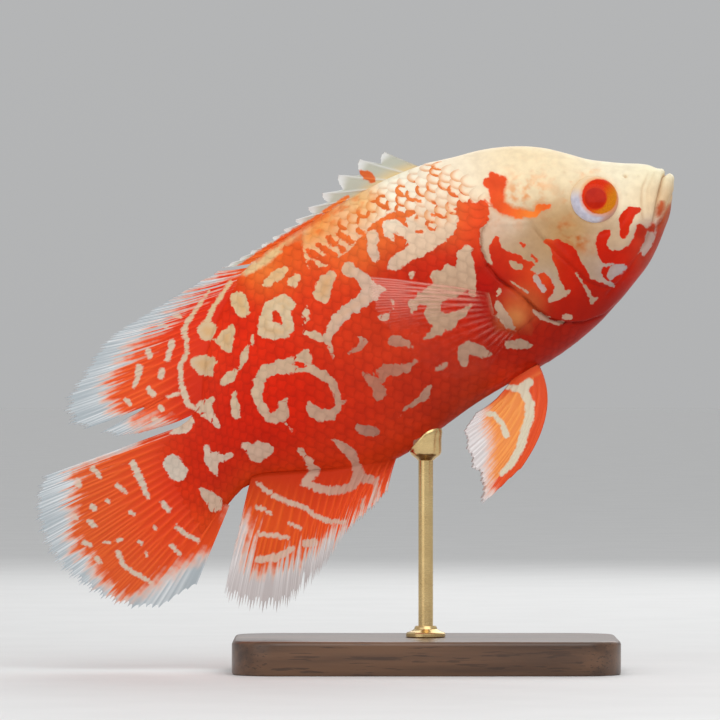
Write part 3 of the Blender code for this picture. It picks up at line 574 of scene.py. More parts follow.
# %% Pale head and back
PALE_HEAD = (
    (-8, 75), (-8, -2.4), (0, -3.2), (4, -4.6), (8, -5.8), (12, -8.0), (15, -12.0), (20, -14.6), (27, -13.4),
    (34, -12.8), (41, -12.5), (50, -12.5), (56.5, -12.4), (59.4, -11.6), (58.8, -10.2), (56.0, -9.6),
    (54.4, -8.2), (54.0, -4.0), (54.8, -1.2), (57.2, -0.4), (58.2, 1.6), (56.6, 3.0), (57.6, 5.2), (59.2, 6.6),
    (60.8, 10.0), (62.6, 13.5), (62.2, 16.6), (66.4, 17.0), (69.2, 10.0), (70.4, 13.0), (68.4, 19.5),
    (65.4, 24.0), (60.2, 26.0), (58.4, 31.2), (62.0, 31.8), (66.0, 34.6), (69.6, 34.0), (69.4, 30.2),
    (72.5, 28.0), (77.0, 26.0), (84.0, 25.8), (92.0, 26.4), (98.5, 26.4), (100.6, 28.6), (98.0, 31.0),
    (89.5, 31.6), (88.0, 34.0), (86.4, 38.5), (84.5, 42.5), (90.0, 45.0), (97.0, 44.6), (104.0, 43.0),
    (109.0, 41.2), (118.0, 41.2), (124.0, 43.0), (124.0, 47.0), (121.6, 51.0), (120.0, 54.6), (128.0, 55.0),
    (137.0, 52.6), (143.5, 52.8), (146.5, 55.4), (160, 64), (160, 75),
)
CREAM = {
    "big spot": ((118.4, 37.0, 1.7), (121.5, 35.8, 3.1), (124.5, 33.4, 3.0), (125.0, 31.6, 1.8)),
    "hook": ((112.0, 35.9, 2.4), (110.0, 31.3, 2.0), (109.0, 27.0, 2.4)),
    "bar": (
        (105.9, 23.2, 1.3), (108.0, 24.3, 2.4), (113.0, 23.9, 2.5), (118.5, 23.6, 2.3), (123.4, 23.2, 2.2),
        (127.4, 21.6, 2.0), (129.5, 20.2, 1.3),
    ),
    "fork": ((129.0, 22.4, 0.8), (132.2, 18.4, 1.3), (134.6, 22.8, 1.3), (137.0, 25.0, 0.5)),
    "fork stem": ((132.2, 18.4, 1.3), (132.2, 16.6, 0.9), (133.2, 12.0, 0.35)),
    "tall spot": ((98.9, 41.4, 2.1), (100.6, 37.4, 2.6), (102.0, 33.8, 1.4)),
    "twin": ((92.8, 41.8, 1.7), (90.0, 40.4, 1.9), (88.6, 36.6, 1.7), (88.6, 33.0, 1.2)),
    "twin arm": ((92.8, 41.6, 1.6), (93.6, 38.4, 1.7), (94.6, 35.4, 0.9)),
    "patch top": ((72.9, 19.4, 1.5), (74.8, 18.6, 2.4), (77.6, 13.6, 3.2), (78.8, 8.8, 2.2), (80.4, 5.2, 1.0)),
    "patch middle": (
        (87.4, 18.0, 1.7), (86.4, 15.6, 2.8), (83.0, 16.8, 2.2), (81.4, 12.0, 3.2), (84, 9.4, 2.6),
    ),
    "patch rear": (
        (84.0, 11.6, 3.4), (90.0, 12.2, 3.6), (94.0, 12.8, 2.8), (99.4, 13.0, 2.1), (101.4, 11.4, 1.0),
    ),
    "patch low": ((93.0, 11.0, 3.0), (95.6, 7.0, 3.1), (94.2, 2.6, 2.8), (97.4, 0.8, 1.6), (102.5, 1.0, 0.6)),
    "patch foot": ((93.0, 0.6, 2.2), (89.4, 1.8, 1.9), (85.2, 1.4, 1.1), (82.6, 2.4, 0.7)),
    "dash": ((95.2, 21.8, 0.8), (94.2, 22.8, 0.9)),
    "bead": ((111.2, 15.2, 1.3), (110.2, 14.6, 1.3)),
    "sliver": ((105.0, 18.4, 0.6), (106.6, 15.4, 0.4)),
    "arrow": ((121.8, 14.6, 0.4), (121.0, 11.2, 1.5), (124.4, 10.2, 0.6), (127.6, 10.8, 0.8)),
    "comma": ((112.2, 6.4, 1.9), (110.8, 5.0, 2.0), (108.8, 3.0, 1.3), (107.8, 0.4, 0.6)),
    "boot": ((127.5, 2.4, 0.5), (126.2, -0.6, 1.7), (125.9, -4.0, 1.8), (125.8, -7.0, 2.5)),
    "wave": (
        (123.0, -3.6, 1.0), (120.6, -1.4, 2.2), (117.4, -2.4, 2.1), (113.6, -4.6, 1.2), (109.4, -4.0, 0.9),
    ),
    "smudge": ((104.0, -10.4, 1.1), (103.0, -11.2, 1.2), (100.8, -10.4, 0.5)),
    "under fin": (
        (95.4, -13.0, 1.8), (93.0, -9.4, 1.8), (90.2, -10.4, 2.6), (88.0, -13.6, 2.2), (86, -15.6, 1),
    ),
    "streak": (
        (124.6, -17.4, 0.4), (120.4, -16.2, 0.7), (116.4, -16.4, 1.1), (112.8, -16.0, 1.6), (110.2, -14.8, 1.2),
    ),
    "breast bar": ((78.6, -16.6, 1.4), (75.0, -18.6, 1.8), (72.8, -20.6, 1.2)),
    "seed": ((138.4, -13.8, 1.5), (136.6, -15.6, 2.2), (134.8, -17.6, 1.8)),
    "chip": ((129.2, 43.0, 1.6), (131.4, 42.8, 1.6), (131.0, 40.2, 0.9)),
    "crumb": ((133.4, 30.4, 1.4), (131.6, 32.4, 0.6)),
    "crumb tail": ((133.6, 28.6, 0.6), (136.0, 27.4, 0.4)),
    "box": ((148.3, 33.2, 2.5), (145.4, 37.4, 2.3), (141.6, 39.8, 1.8), (137.4, 38.6, 2.4), (136.6, 36.2, 2.2)),
    "box low": (
        (148.3, 33.2, 2.5), (145.6, 31.0, 3.0), (143.8, 29.2, 2.4), (140.8, 29.8, 2.2), (139.8, 33.4, 1.8),
    ),
    "box fill": ((139.8, 33.4, 1.8), (138.6, 37.0, 2.4)),
    "drop": ((150.7, 47.4, 3.0), (151.4, 43.2, 2.4)),
    "knot": ((166.2, 44.0, 3.4), (164.8, 42.4, 3.0)),
    "knot low": ((162.0, 38.2, 3.3), (162.6, 35.0, 1.9)),
    "knot side": ((161.6, 38.4, 3.0), (158.4, 39.8, 1.7)),
    "knot joint": ((165.6, 41.0, 1.2), (164.0, 38.6, 1.4)),
    "diamond": ((175.6, 36.6, 2.0), (173.4, 34.4, 3.7), (170.4, 34.0, 1.9)),
    "diamond foot": ((174.0, 33.0, 2.4), (172.6, 31.0, 1.3)),
    "pebble": ((170.8, 25.4, 1.0), (167.8, 26.0, 2.1), (165.2, 26.6, 1.2)),
    "ticks": ((163.0, 26.6, 0.5), (160.0, 29.0, 1.4), (157.2, 31.6, 0.7)),
    "tick": ((154.9, 31.2, 0.7), (153.4, 34.4, 0.6)),
    "arch": (
        (164.0, 6.4, 1.5), (163.9, 11.0, 1.5), (162.7, 15.2, 1.8), (160.2, 19.0, 2.0), (156.0, 21.2, 2.3),
        (151.4, 19.6, 2.4), (146.8, 17.4, 2.8), (142.8, 16.6, 3.2), (140.6, 18.6, 1.7),
    ),
    "arch down": (
        (142.4, 15.2, 2.0), (141.6, 12.0, 1.6), (139.3, 9.0, 1.8), (138.2, 4.6, 1.6), (139.0, 0.2, 1.3),
        (140.8, -3.2, 1.3), (144.6, -5.0, 1.6), (147.4, -2.8, 2.2), (149.2, 0.4, 2.2), (149.0, 3.4, 0.8),
    ),
    "arch toe": ((140.6, -3.0, 1.0), (138.0, -2.8, 0.8)),
    "arch hook": (
        (164.0, 6.6, 1.5), (161.6, 5.2, 2.0), (158.4, 4.8, 2.2), (157.0, 7.6, 1.6), (154.8, 8.6, 0.8),
    ),
    "arch drip": ((159.6, 3.0, 0.9), (159.6, -0.4, 0.5), (159.2, -2.2, 0.4)),
    "kite": ((175.6, 2.2, 1.6), (174.8, -1.4, 2.6), (172.4, -0.4, 1.9), (170.0, -3.2, 1.9)),
    "kite foot": ((174.4, -3.4, 2.0), (170.4, -3.8, 1.4)),
    "bowl": (
        (160.4, -9.2, 1.1), (160.0, -14.0, 1.2), (159.8, -18.2, 1.8), (163.6, -19.2, 1.5), (166.4, -19.8, 0.8),
    ),
    "bowl round": (
        (165.2, -20.2, 1.0), (163.2, -22.8, 1.5), (160.0, -26.2, 1.5), (156.0, -28.8, 1.6), (151.4, -29.8, 1.5),
        (147.6, -27.4, 2.0), (146.2, -23.4, 1.6), (145.4, -19.4, 1.9), (147.2, -15.4, 1.4), (148.6, -12.4, 0.7),
    ),
    "bowl end": ((148.0, -28.6, 1.6), (145.2, -31.0, 1.7)),
    "bean": ((168.9, 20.2, 0.7), (170.8, 18.6, 1.4), (172.2, 14.6, 1.6), (172.6, 12.6, 1.0)),
    "dart": ((181.6, 21.6, 2.6), (180.8, 17.4, 1.7), (180.3, 12.4, 0.5)),
    "dart side": ((181.6, 22.0, 2.2), (177.0, 22.8, 1.3)),
    "saddle": ((195.6, 20.0, 0.8), (191.4, 19.2, 2.0), (188.0, 19.8, 1.3)),
    "letter": ((188.2, 8.8, 1.3), (188.8, 5.6, 2.3), (189.6, 1.8, 1.4), (190.0, -1.0, 0.5)),
    "letter arm": ((187.4, 5.0, 1.9), (184.4, 3.0, 1.4), (182.2, 2.4, 1.0)),
    "tail spot": ((201.3, 10.6, 3.3), (201.1, 7.4, 3.7)),
    "tail wedge": ((197.4, -2.0, 0.9), (196.5, -5.6, 2.2), (196.0, -9.0, 3.0)),
    "back bar": ((130.0, 54.2, 0.8), (136.0, 53.8, 1.2), (144.0, 53.8, 0.9)),
    "back tan": ((131.6, 47.6, 1.6), (135.0, 47.4, 2.0), (139.4, 46.8, 1.4)),
    "vent": ((125.0, -28.6, 0.8), (121.8, -28.8, 0.9)),
}
OVER = {
    "cheek chip": ((38.9, -11.6, 1.6), (39.2, -14.0, 1.2)),
    "cheek pool": ((35.4, -15.0, 1.4), (32.4, -14.4, 2.0), (30.0, -14.8, 1.2)),
    "chin pool": ((21.6, -14.6, 0.8), (18.6, -13.0, 1.6), (16.0, -10.6, 1.7)),
    "cover line": ((45.4, -7.8, 0.35), (45.3, -16.0, 0.55), (45.6, -19.0, 1.0), (44.2, -19.2, 0.6)),
    "cheek line": ((39.2, -13.0, 0.8), (38.2, -16.0, 0.6), (36.6, -18.6, 0.7)),
    "lobe": ((74.6, -2.2, 1.2), (75.4, -6.2, 2.0), (75.2, -9.8, 1.9), (74.4, -12.4, 0.8)),
    "lobe line": ((73.0, 0.2, 0.5), (71.6, 1.4, 0.6)),
    "cover chip": ((62.8, 7.6, 0.7), (62.2, 5.8, 1.2), (60.8, 4.6, 0.7)),
    "cover thread": ((66.4, 2.2, 0.2), (65.2, -1.0, 0.35), (63.4, -4.4, 0.25)),
    "lavender": ((54.2, -10.8, 0.7), (51.0, -12.0, 0.6)),
    "cover rim": ((64.9, -10.8, 0.5), (63.6, -14.6, 0.8), (60.8, -18.8, 0.7), (58.0, -20.2, 0.4)),
    "cover seed": ((56.6, -18.6, 0.9), (55.2, -20.0, 0.8)),
    "cover pool": ((58.5, -1.6, 0.8), (58.5, -6.6, 0.9)),
    # A painted highlight: a pale line along the raised fold above the gill cover.
    "fold highlight": ((49.4, 15.2, 0.4), (53.0, 17.0, 0.6), (57.0, 19.2, 0.6), (60.8, 21.8, 0.4)),
}
RED = {
    "nape": ((54.8, 35.8, 1.6), (52.8, 33.0, 3.2), (54.4, 30.2, 2.5), (56.0, 27.6, 2.3)),
    "nape horn": ((52.0, 37.4, 1.1), (51.4, 35.2, 2.0), (49.6, 33.4, 1.2)),
    "nape low": ((56.0, 27.4, 2.0), (54.6, 24.2, 2.0), (52.2, 21.2, 1.7), (48.6, 18.6, 1.3), (46.8, 17.4, 1.0)),
    "brow": ((46.2, 17.4, 0.9), (44.0, 18.3, 1.7), (41.4, 17.2, 0.9)),
    "clover": ((68.6, 33.4, 0.9), (66.8, 31.0, 1.1), (66.0, 28.4, 1.4), (63.2, 27.4, 2.3), (59.6, 29.6, 1.3)),
    "clover tail": ((66.0, 27.6, 1.6), (70.4, 25.6, 1.8), (76.0, 24.2, 1.9)),
    "spur": ((63.2, 26.4, 1.6), (61.8, 24.8, 0.8)),
    "bar": ((48.4, 7.0, 0.8), (46.4, 3.8, 2.5), (45.6, 0.0, 4.2), (46.2, -4.4, 4.7), (46.8, -10.0, 5.0)),
    "bar foot": ((46.8, -10.0, 5.0), (47.2, -15.0, 5.6)),
    "swirl": (
        (28.9, -1.6, 1.5), (31.0, -1.8, 1.9), (33.2, -5.0, 2.0), (33.0, -8.6, 2.7), (29.0, -11.2, 2.2),
        (24.4, -11.6, 2.2), (20.6, -9.8, 2.0), (18.2, -7.4, 1.8), (17.6, -5.6, 1.1),
    ),
    "swirl end": ((18.2, -8.4, 1.5), (15.8, -9.0, 1.5), (13.4, -8.0, 1.0)),
    "hook": ((14.6, -0.5, 0.8), (17.4, 0.0, 1.9), (19.9, -0.6, 2.5), (22.2, -2.7, 1.9), (24.6, -5.4, 1.2)),
    "cheek low": ((36.0, -12.2, 1.0), (28.0, -14.0, 1.2), (22.0, -14.4, 0.8)),
    "cover band": ((62.4, 17.2, 1.0), (65.4, 15.0, 1.5), (66.6, 11.6, 1.9), (66.0, 8.4, 2.2)),
    "cover speck": ((56.4, 11.4, 0.6), (56.2, 10.2, 0.8)),
    "cover fleck": ((60.6, 9.0, 0.7), (59.6, 7.4, 1.1)),
    "cover dot": ((55.2, 5.6, 0.5), (54.8, 4.0, 0.7), (55.2, 3.2, 0.4)),
    "box core": ((142.4, 36.2, 1.3), (142.6, 34.4, 1.5)),
    "ring core": ((97.4, 35.8, 2.2), (95.2, 34.2, 1.6), (95.6, 37.6, 1.1)),
    "eyelet": ((90.2, 35.4, 0.8), (90.4, 34.0, 0.7)),
    "patch hole": ((98.2, 11.6, 0.7), (96.8, 10.2, 0.9)),
    "patch bite": ((89.6, 5.6, 1.7), (86.0, 5.6, 1.5), (82.4, 6.0, 1.0)),
    "arch fleck": ((145.8, 17.4, 0.9), (143.9, 15.5, 1.3)),
    "knot fleck": ((164.6, 40.6, 0.8), (162.4, 41.8, 0.8), (160.8, 42.4, 0.5)),
    "letter eye": ((187.6, 7.2, 0.35), (187.4, 6.8, 0.35)),
    "jaw": ((9.4, -5.4, 1.2), (7.7, -4.3, 1.7), (6.6, -2.9, 1.0)),
    "cover flick": ((57.6, 4.2, 0.6), (56.8, 3.0, 0.6)),
    "oval 1": ((120.8, 48.6, 1.3), (119.6, 46.2, 1.2)),
    "oval 2": ((116.8, 48.8, 1.1), (115.8, 46.0, 1.3)),
    "oval 3": ((112.6, 48.8, 1.0), (111.6, 46.0, 1.3)),
    "oval 4": ((108.6, 48.4, 0.8), (108.0, 46.4, 1.1)),
    "oval 5": ((122.8, 44.8, 1.2), (122.0, 42.4, 1.4)),
    "oval 6": ((118.6, 44.2, 1.3), (117.8, 42.4, 1.4)),
    "oval 7": ((114.8, 44.2, 1.2), (114.0, 42.4, 1.3)),
    "oval 8": ((111.0, 44.2, 1.0), (110.4, 42.6, 1.2)),
    "oval 9": ((106.8, 44.8, 1.1), (106.2, 43.0, 1.2)),
    "oval 10": ((102.4, 46.0, 0.7), (101.4, 44.0, 1.0)),
    "back blot": ((127.6, 48.0, 2.0), (126.6, 51.0, 2.4), (123.4, 53.2, 1.6)),
    "back band": ((130.6, 51.0, 1.2), (137.0, 51.0, 1.4), (143.6, 50.6, 1.4)),
    "ridge line": ((108.0, 56.6, 0.2), (118.0, 57.0, 0.5), (128.0, 56.6, 0.6), (138.0, 56.0, 0.4)),
    "back 1": ((83.6, 50.2, 0.5), (82.6, 48.8, 0.8)),
    "back 2": ((85.9, 41.4, 1.0), (83.4, 41.0, 0.8), (81.6, 40.0, 0.4)),
    "back 3": ((79.4, 43.8, 0.5), (78.4, 42.6, 0.7)),
    "back 4": ((74.6, 39.8, 0.5), (73.4, 38.2, 0.5)),
    "back 5": ((85.4, 34.4, 0.7), (84.0, 33.2, 0.9)),
    "back 6": ((80.8, 32.6, 0.5), (79.6, 31.4, 0.6)),
    "back 7": ((77.2, 36.6, 0.4), (75.6, 35.0, 0.5)),
    "back 8": ((90.6, 47.4, 0.4), (89.4, 46.4, 0.5)),
}

# %% Marks on the fins
FIN_CREAM = {
    "soft rim": ((150.0, 54.2, 0.8), (156.0, 51.4, 0.8), (161.2, 49.2, 0.9), (164.0, 46.8, 1.1)),
    "soft line": (
        (158.0, 55.4, 0.5), (164.0, 53.0, 0.6), (170.6, 50.2, 0.9), (173.2, 48.0, 1.1), (174.6, 44.0, 0.9),
        (176.4, 41.0, 0.9), (180.6, 38.6, 0.9), (183.2, 34.0, 0.8), (185.0, 30.0, 1.1), (185.3, 25.6, 1.1),
        (184.0, 22.6, 0.7),
    ),
    "soft chain": ((178.8, 47.2, 1.2), (183.2, 42.8, 1.0)),
    "soft chain end": ((187.0, 40.6, 0.9), (188.4, 39.0, 1.3)),
    "soft 1": ((187.6, 49.2, 1.1), (188.2, 47.4, 1.3)),
    "soft 2": ((193.2, 45.6, 1.3), (196.0, 42.8, 0.9), (198.4, 41.0, 0.8)),
    "soft 3": ((194.6, 37.6, 0.9), (194.2, 35.2, 1.2)),
    "soft 4": ((203.6, 38.6, 0.8), (203.0, 36.6, 0.9)),
    "soft 5": ((190.4, 31.4, 0.7), (187.0, 30.8, 0.7)),
    "soft 6": ((194.8, 30.2, 0.9), (194.4, 28.8, 0.9)),
    "soft 7": ((198.6, 27.4, 0.9), (197.6, 26.0, 0.8)),
    "soft 8": ((179.0, 54.4, 0.9), (177.6, 52.8, 0.8)),
    "soft 9": ((172.8, 54.6, 0.9), (171.6, 53.2, 0.8)),
    "tail bar": ((213.4, 18.2, 1.2), (213.9, 13.0, 1.3), (214.6, 8.0, 1.1), (214.9, 5.2, 0.8)),
    "tail 1": ((212.0, 0.8, 0.9), (211.3, -2.6, 1.1)),
    "tail 2": ((212.0, -8.8, 0.8), (210.6, -13.0, 0.9), (208.2, -17.6, 0.7)),
    "tail 3": ((222.0, 14.6, 0.9), (221.0, 10.6, 0.6)),
    "tail 4": ((222.9, 4.0, 0.8), (222.6, 3.0, 0.8)),
    "tail 5": ((226.2, 24.2, 1.1), (225.8, 20.2, 0.8)),
    "tail 6": ((233.4, 23.2, 1.1), (233.8, 21.6, 1.1)),
    "tail 7": ((233.8, 13.0, 1.0), (233.4, 11.8, 1.0)),
    "tail 8": ((228.2, 12.0, 0.7), (227.8, 11.0, 0.7)),
    "tail 9": ((237.0, 8.8, 0.9), (236.6, 6.8, 1.1)),
    "tail 10": ((242.6, 3.6, 1.0), (241.4, 1.4, 0.8)),
    "tail 11": ((236.4, -0.4, 0.7), (235.6, -1.2, 0.7)),
    "tail 12": ((232.4, -2.0, 0.8), (230.8, -2.8, 0.6)),
    "tail 13": (
        (234.8, -6.0, 1.1), (235.2, -10.8, 0.8), (233.6, -14.6, 0.8), (231.6, -17.4, 0.8), (230, -22, 0.6),
    ),
    "tail 14": ((216.9, -13.6, 0.8), (216.4, -18.0, 0.6)),
    "tail 15": ((218.9, -5.0, 0.7), (218.7, -5.6, 0.7)),
    "tail 16": ((226.4, -6.6, 0.6), (225.8, -7.4, 0.6)),
    "tail 17": ((226.4, -11.2, 0.6), (226.2, -12.0, 0.6)),
    "tail 18": ((242.2, -3.4, 1.0), (241.8, -5.4, 0.8)),
    "tail 19": ((241.0, 13.6, 1.0), (240.6, 12.4, 0.9)),
    "anal line": (
        (179.6, -11.0, 0.7), (177.8, -16.4, 0.9), (174.4, -22.0, 0.9), (169.8, -27.6, 0.9), (168.2, -32.0, 0.9),
        (165.0, -36.2, 0.9), (160.6, -39.2, 0.7),
    ),
    "anal 1": ((188.8, -26.4, 0.8), (184.8, -29.6, 0.9), (180.8, -33.2, 0.7)),
    "anal 2": ((177.6, -29.2, 0.7), (175.2, -32.6, 0.7)),
    "anal 3": ((184.2, -18.0, 0.8), (181.2, -22.8, 0.7)),
    "anal 4": ((194.0, -34.0, 1.2), (188.0, -37.0, 1.3), (181.6, -37.2, 1.0)),
    "anal 5": ((176.4, -38.0, 1.4), (173.6, -39.4, 1.4)),
    "anal 6": ((152.8, -38.0, 0.7), (151.2, -36.0, 0.5)),
    "anal front": ((143.0, -32.2, 0.8), (145.4, -35.0, 0.8), (148.4, -38.0, 0.6)),
    "belly band": (
        (79.3, -31.9, 1.5), (82.7, -32.4, 1.7), (83.2, -38.0, 1.7), (86.0, -42.4, 1.6), (90.4, -45.8, 1.6),
        (94.9, -49.7, 1.5), (99.9, -52.4, 1.3), (104.9, -53.6, 1.0),
    ),
    "belly heel": ((87.6, -28.6, 0.7), (84.4, -31.2, 1.2)),
    "belly spot": ((99.3, -32.4, 0.8), (96.0, -34.7, 0.9), (95.4, -39.1, 0.9), (96.0, -43.0, 1.3)),
}

# %% [markdown]
# Neither the cream nor the red is one colour: the cream runs from yellowish on the snout to brown on the
# cheek and orange on the back, and the red from orange above to deep crimson below. Each tone here is a
# place, its reach in millimetres and a colour, and the skin between them takes a weighted mean.

# %% Tones by place
PALE_TONES = (
    ((1, 8, 6), (0.96, 0.90, 0.64)), ((14, 16, 9), (0.94, 0.84, 0.62)), ((30, 28, 9), (0.94, 0.78, 0.52)),
    ((46, 40, 11), (0.93, 0.75, 0.48)), ((60, 46, 9), (0.96, 0.84, 0.66)), ((80, 50, 8), (0.98, 0.94, 0.77)),
    ((76, 34, 9), (0.88, 0.62, 0.42)), ((4, -1, 4), (0.60, 0.34, 0.155)), ((10, 2, 5), (0.86, 0.66, 0.42)),
    ((14, -11, 4), (0.50, 0.34, 0.30)), ((38, 8, 8), (0.46, 0.24, 0.08)), ((30, -2, 5), (0.58, 0.40, 0.26)),
    ((38, -10, 5), (0.44, 0.30, 0.22)), ((33, -15, 3.5), (0.44, 0.36, 0.38)), ((55, 12, 7), (0.46, 0.29, 0.16)),
    ((54, -6, 6), (0.45, 0.31, 0.20)), ((58, -5, 2.5), (0.54, 0.42, 0.46)), ((60, 22, 5), (0.72, 0.50, 0.38)),
    ((54, 19.5, 2.5), (0.86, 0.70, 0.54)), ((82, 66, 4), (0.62, 0.56, 0.42)), ((98, 63, 4), (0.60, 0.53, 0.38)),
    ((118, 61, 3), (0.62, 0.60, 0.56)), ((140, 61, 3), (0.70, 0.70, 0.70)), ((76, 14, 8), (0.55, 0.36, 0.24)),
    ((75, -6, 2.5), (0.56, 0.36, 0.25)), ((90, 11, 9), (0.52, 0.34, 0.22)), ((85, 29, 7), (0.74, 0.52, 0.36)),
    ((95, 54, 4), (0.94, 0.48, 0.13)), ((112, 54, 5), (0.95, 0.34, 0.052)), ((104, 48, 5), (0.88, 0.52, 0.30)),
    ((114, 44, 5), (0.84, 0.50, 0.28)), ((112, 27, 9), (0.66, 0.45, 0.34)), ((121, 35, 5), (0.70, 0.43, 0.22)),
    ((136, 54, 6), (0.84, 0.56, 0.26)), ((135, 47, 3.5), (0.76, 0.44, 0.22)),
    ((140, 36, 7), (0.73, 0.55, 0.35)), ((152, 46, 6), (0.74, 0.52, 0.28)), ((164, 42, 6), (0.72, 0.50, 0.28)),
    ((173, 34, 5), (0.66, 0.42, 0.20)), ((168, 24, 7), (0.66, 0.48, 0.32)), ((150, 18, 9), (0.62, 0.42, 0.28)),
    ((150, -2, 9), (0.56, 0.34, 0.24)), ((150, -26, 9), (0.62, 0.30, 0.22)), ((122, -2, 9), (0.46, 0.16, 0.10)),
    ((114, -17, 8), (0.44, 0.24, 0.17)), ((90, -12, 8), (0.44, 0.26, 0.18)), ((76, -18, 6), (0.42, 0.27, 0.19)),
    ((188, 8, 7), (0.64, 0.46, 0.36)), ((201, 9, 6), (0.64, 0.56, 0.48)), ((196, -8, 6), (0.60, 0.40, 0.29)),
    ((173, -2, 7), (0.58, 0.38, 0.28)), ((46, -18, 5), (0.44, 0.28, 0.20)), ((62, -16, 5), (0.50, 0.30, 0.22)),
    ((136, -15, 5), (0.38, 0.165, 0.12)), ((184, 32, 7), (0.72, 0.54, 0.38)),
    ((225, 5, 18), (0.66, 0.52, 0.40)), ((190, 40, 12), (0.70, 0.54, 0.40)),
    ((180, -30, 14), (0.72, 0.48, 0.36)),
)
RED_TONES = (
    ((53, 31, 6), (0.82, 0.080, 0.016)), ((54, 24, 4), (0.84, 0.12, 0.018)), ((48, 18, 4), (0.90, 0.24, 0.030)),
    ((42, 17, 3), (0.84, 0.10, 0.012)), ((8, -4, 2.5), (0.64, 0.15, 0.048)), ((76, 46, 8), (0.88, 0.25, 0.06)),
    ((74, 36, 6), (0.86, 0.17, 0.035)), ((92, 40, 6), (0.84, 0.13, 0.025)), ((20, -1, 6), (0.70, 0.022, 0.002)),
    ((32, -7, 6), (0.55, 0.012, 0.001)), ((46, -7, 6), (0.53, 0.014, 0.001)),
    ((46, -19, 6), (0.36, 0.008, 0.001)), ((62, 8, 6), (0.60, 0.030, 0.006)),
    ((66, 28, 6), (0.80, 0.060, 0.010)), ((56, 1, 4), (0.66, 0.065, 0.012)), ((72, 4, 6), (0.38, 0.002, 0.001)),
    ((72, -24, 8), (0.38, 0.010, 0.001)), ((7, -6, 5), (0.40, 0.080, 0.032)),
    ((16, -13, 5), (0.44, 0.044, 0.020)), ((100, 50, 8), (0.86, 0.22, 0.04)),
    ((112, 44, 7), (0.84, 0.13, 0.022)), ((126, 50, 6), (0.84, 0.11, 0.016)),
    ((136, 48, 6), (0.86, 0.17, 0.024)), ((137, 51, 2.5), (0.88, 0.24, 0.05)),
    ((128, 36, 8), (0.80, 0.050, 0.008)), ((150, 32, 12), (0.76, 0.022, 0.002)),
    ((92, 20, 10), (0.58, 0.020, 0.004)), ((115, 12, 10), (0.62, 0.040, 0.009)),
    ((130, 25, 9), (0.72, 0.042, 0.008)), ((134, 2, 9), (0.60, 0.026, 0.005)),
    ((152, 8, 9), (0.70, 0.015, 0.001)), ((110, -14, 9), (0.48, 0.022, 0.005)),
    ((104, -26, 7), (0.44, 0.032, 0.007)), ((128, -26, 7), (0.60, 0.034, 0.006)),
    ((146, -14, 8), (0.60, 0.022, 0.004)), ((168, -4, 8), (0.54, 0.011, 0.001)),
    ((160, -22, 8), (0.64, 0.020, 0.002)), ((176, 16, 9), (0.64, 0.014, 0.002)),
    ((192, -2, 8), (0.48, 0.004, 0.001)), ((192, 14, 7), (0.62, 0.018, 0.002)),
    ((212, 0, 11), (0.80, 0.036, 0.004)), ((232, 6, 16), (0.72, 0.100, 0.020)),
    ((176, 44, 9), (0.80, 0.032, 0.006)), ((183, 31, 5), (0.68, 0.016, 0.003)),
    ((202, 2, 5), (0.70, 0.022, 0.003)), ((196, 42, 13), (0.82, 0.090, 0.018)),
    ((160, -34, 12), (0.84, 0.080, 0.012)), ((188, -26, 13), (0.77, 0.090, 0.011)),
    # The lighter tan tone at (71.6, -9.4) is a painted highlight on the breast fin's fleshy lobe.
    ((68, -6, 4), (0.54, 0.11, 0.028)), ((71.6, -9.4, 2), (0.66, 0.27, 0.08)),
    ((84, -31, 5), (0.66, 0.035, 0.008)), ((90, 60, 4), (0.68, 0.12, 0.030)),
)


def tone(s, h, tones):
    """Colour at a place: a mean of the named tones, weighted by a bell curve about each one's place."""
    total = np.zeros(np.shape(s) + (3,))
    weight = np.zeros(np.shape(s)) + 1e-9
    for (at, up, reach), colour in tones:
        share = np.exp(-((s - at) ** 2 + (h - up) ** 2) / (2 * reach**2)) + 1e-7 / (
            1 + ((s - at) ** 2 + (h - up) ** 2) / reach**4
        )
        total += share[..., None] * np.array(colour)
        weight += share
    return total / weight[..., None]


def between(a, b, share):
    """Colours on the way from a to b by a share."""
    return np.array(a) * (1 - share) + np.array(b) * share


def blush_at(s, h):
    """Share of orange mottling on the pale head: strongest on the nape and between eye and gill cover."""
    nape = np.exp(-(((s - 48) / 11) ** 2) - ((h - 25) / 8) ** 2)
    cheek = np.exp(-(((s - 38.3 - 0.27 * h) / 3.0) ** 2) - ((h - 4.0) / 6.6) ** 2)
    brow = np.exp(-((np.hypot(s - EYE[0], h - EYE[1]) - 10.0) / 1.2) ** 2) * rise(h + 0.5 * s, 24, 32)
    ridge = rise(s, 84, 94) * (1 - rise(s, 118, 130)) * rise(h, 49, 54)
    return 0.9 * nape + 1.6 * cheek + 0.5 * brow + 0.8 * ridge


def markings(s, h, left=False):
    """How far inside the cream a place lies in mm, on the right side as drawn or on the left, bent."""
    if left:
        bend_s, bend_h = 3.2 * np.sin(h / 9.0 + 0.6) + 2.0, 2.6 * np.sin(s / 13.0)
        keep = rise(s, 20, 60)
        s, h = s + bend_s * keep, h + bend_h * keep * (1 - rise(np.abs(h), 40, 60))
    pale = np.maximum(outline(s, h, PALE_HEAD), strokes(s, h, CREAM.values()))
    return np.maximum(np.minimum(pale, -strokes(s, h, RED.values())), strokes(s, h, OVER.values()))


def crisp_at(s, h):
    """How fast colour turns at a mark's border, per mm. Borders blur on jaw, nape and the back's ridge."""
    jaw = np.exp(-(((s - 7) / 6.5) ** 2) - ((h + 7) / 5) ** 2)
    ridge = rise(h, 50, 54) * rise(s, 92, 104) * (1 - 0.5 * rise(s, 120, 128))
    nape = 0.4 * np.exp(-(((s - 51) / 7) ** 2) - ((h - 27) / 10) ** 2)
    return 1 / (0.22 + 1.4 * np.maximum(np.maximum(jaw, ridge), nape))


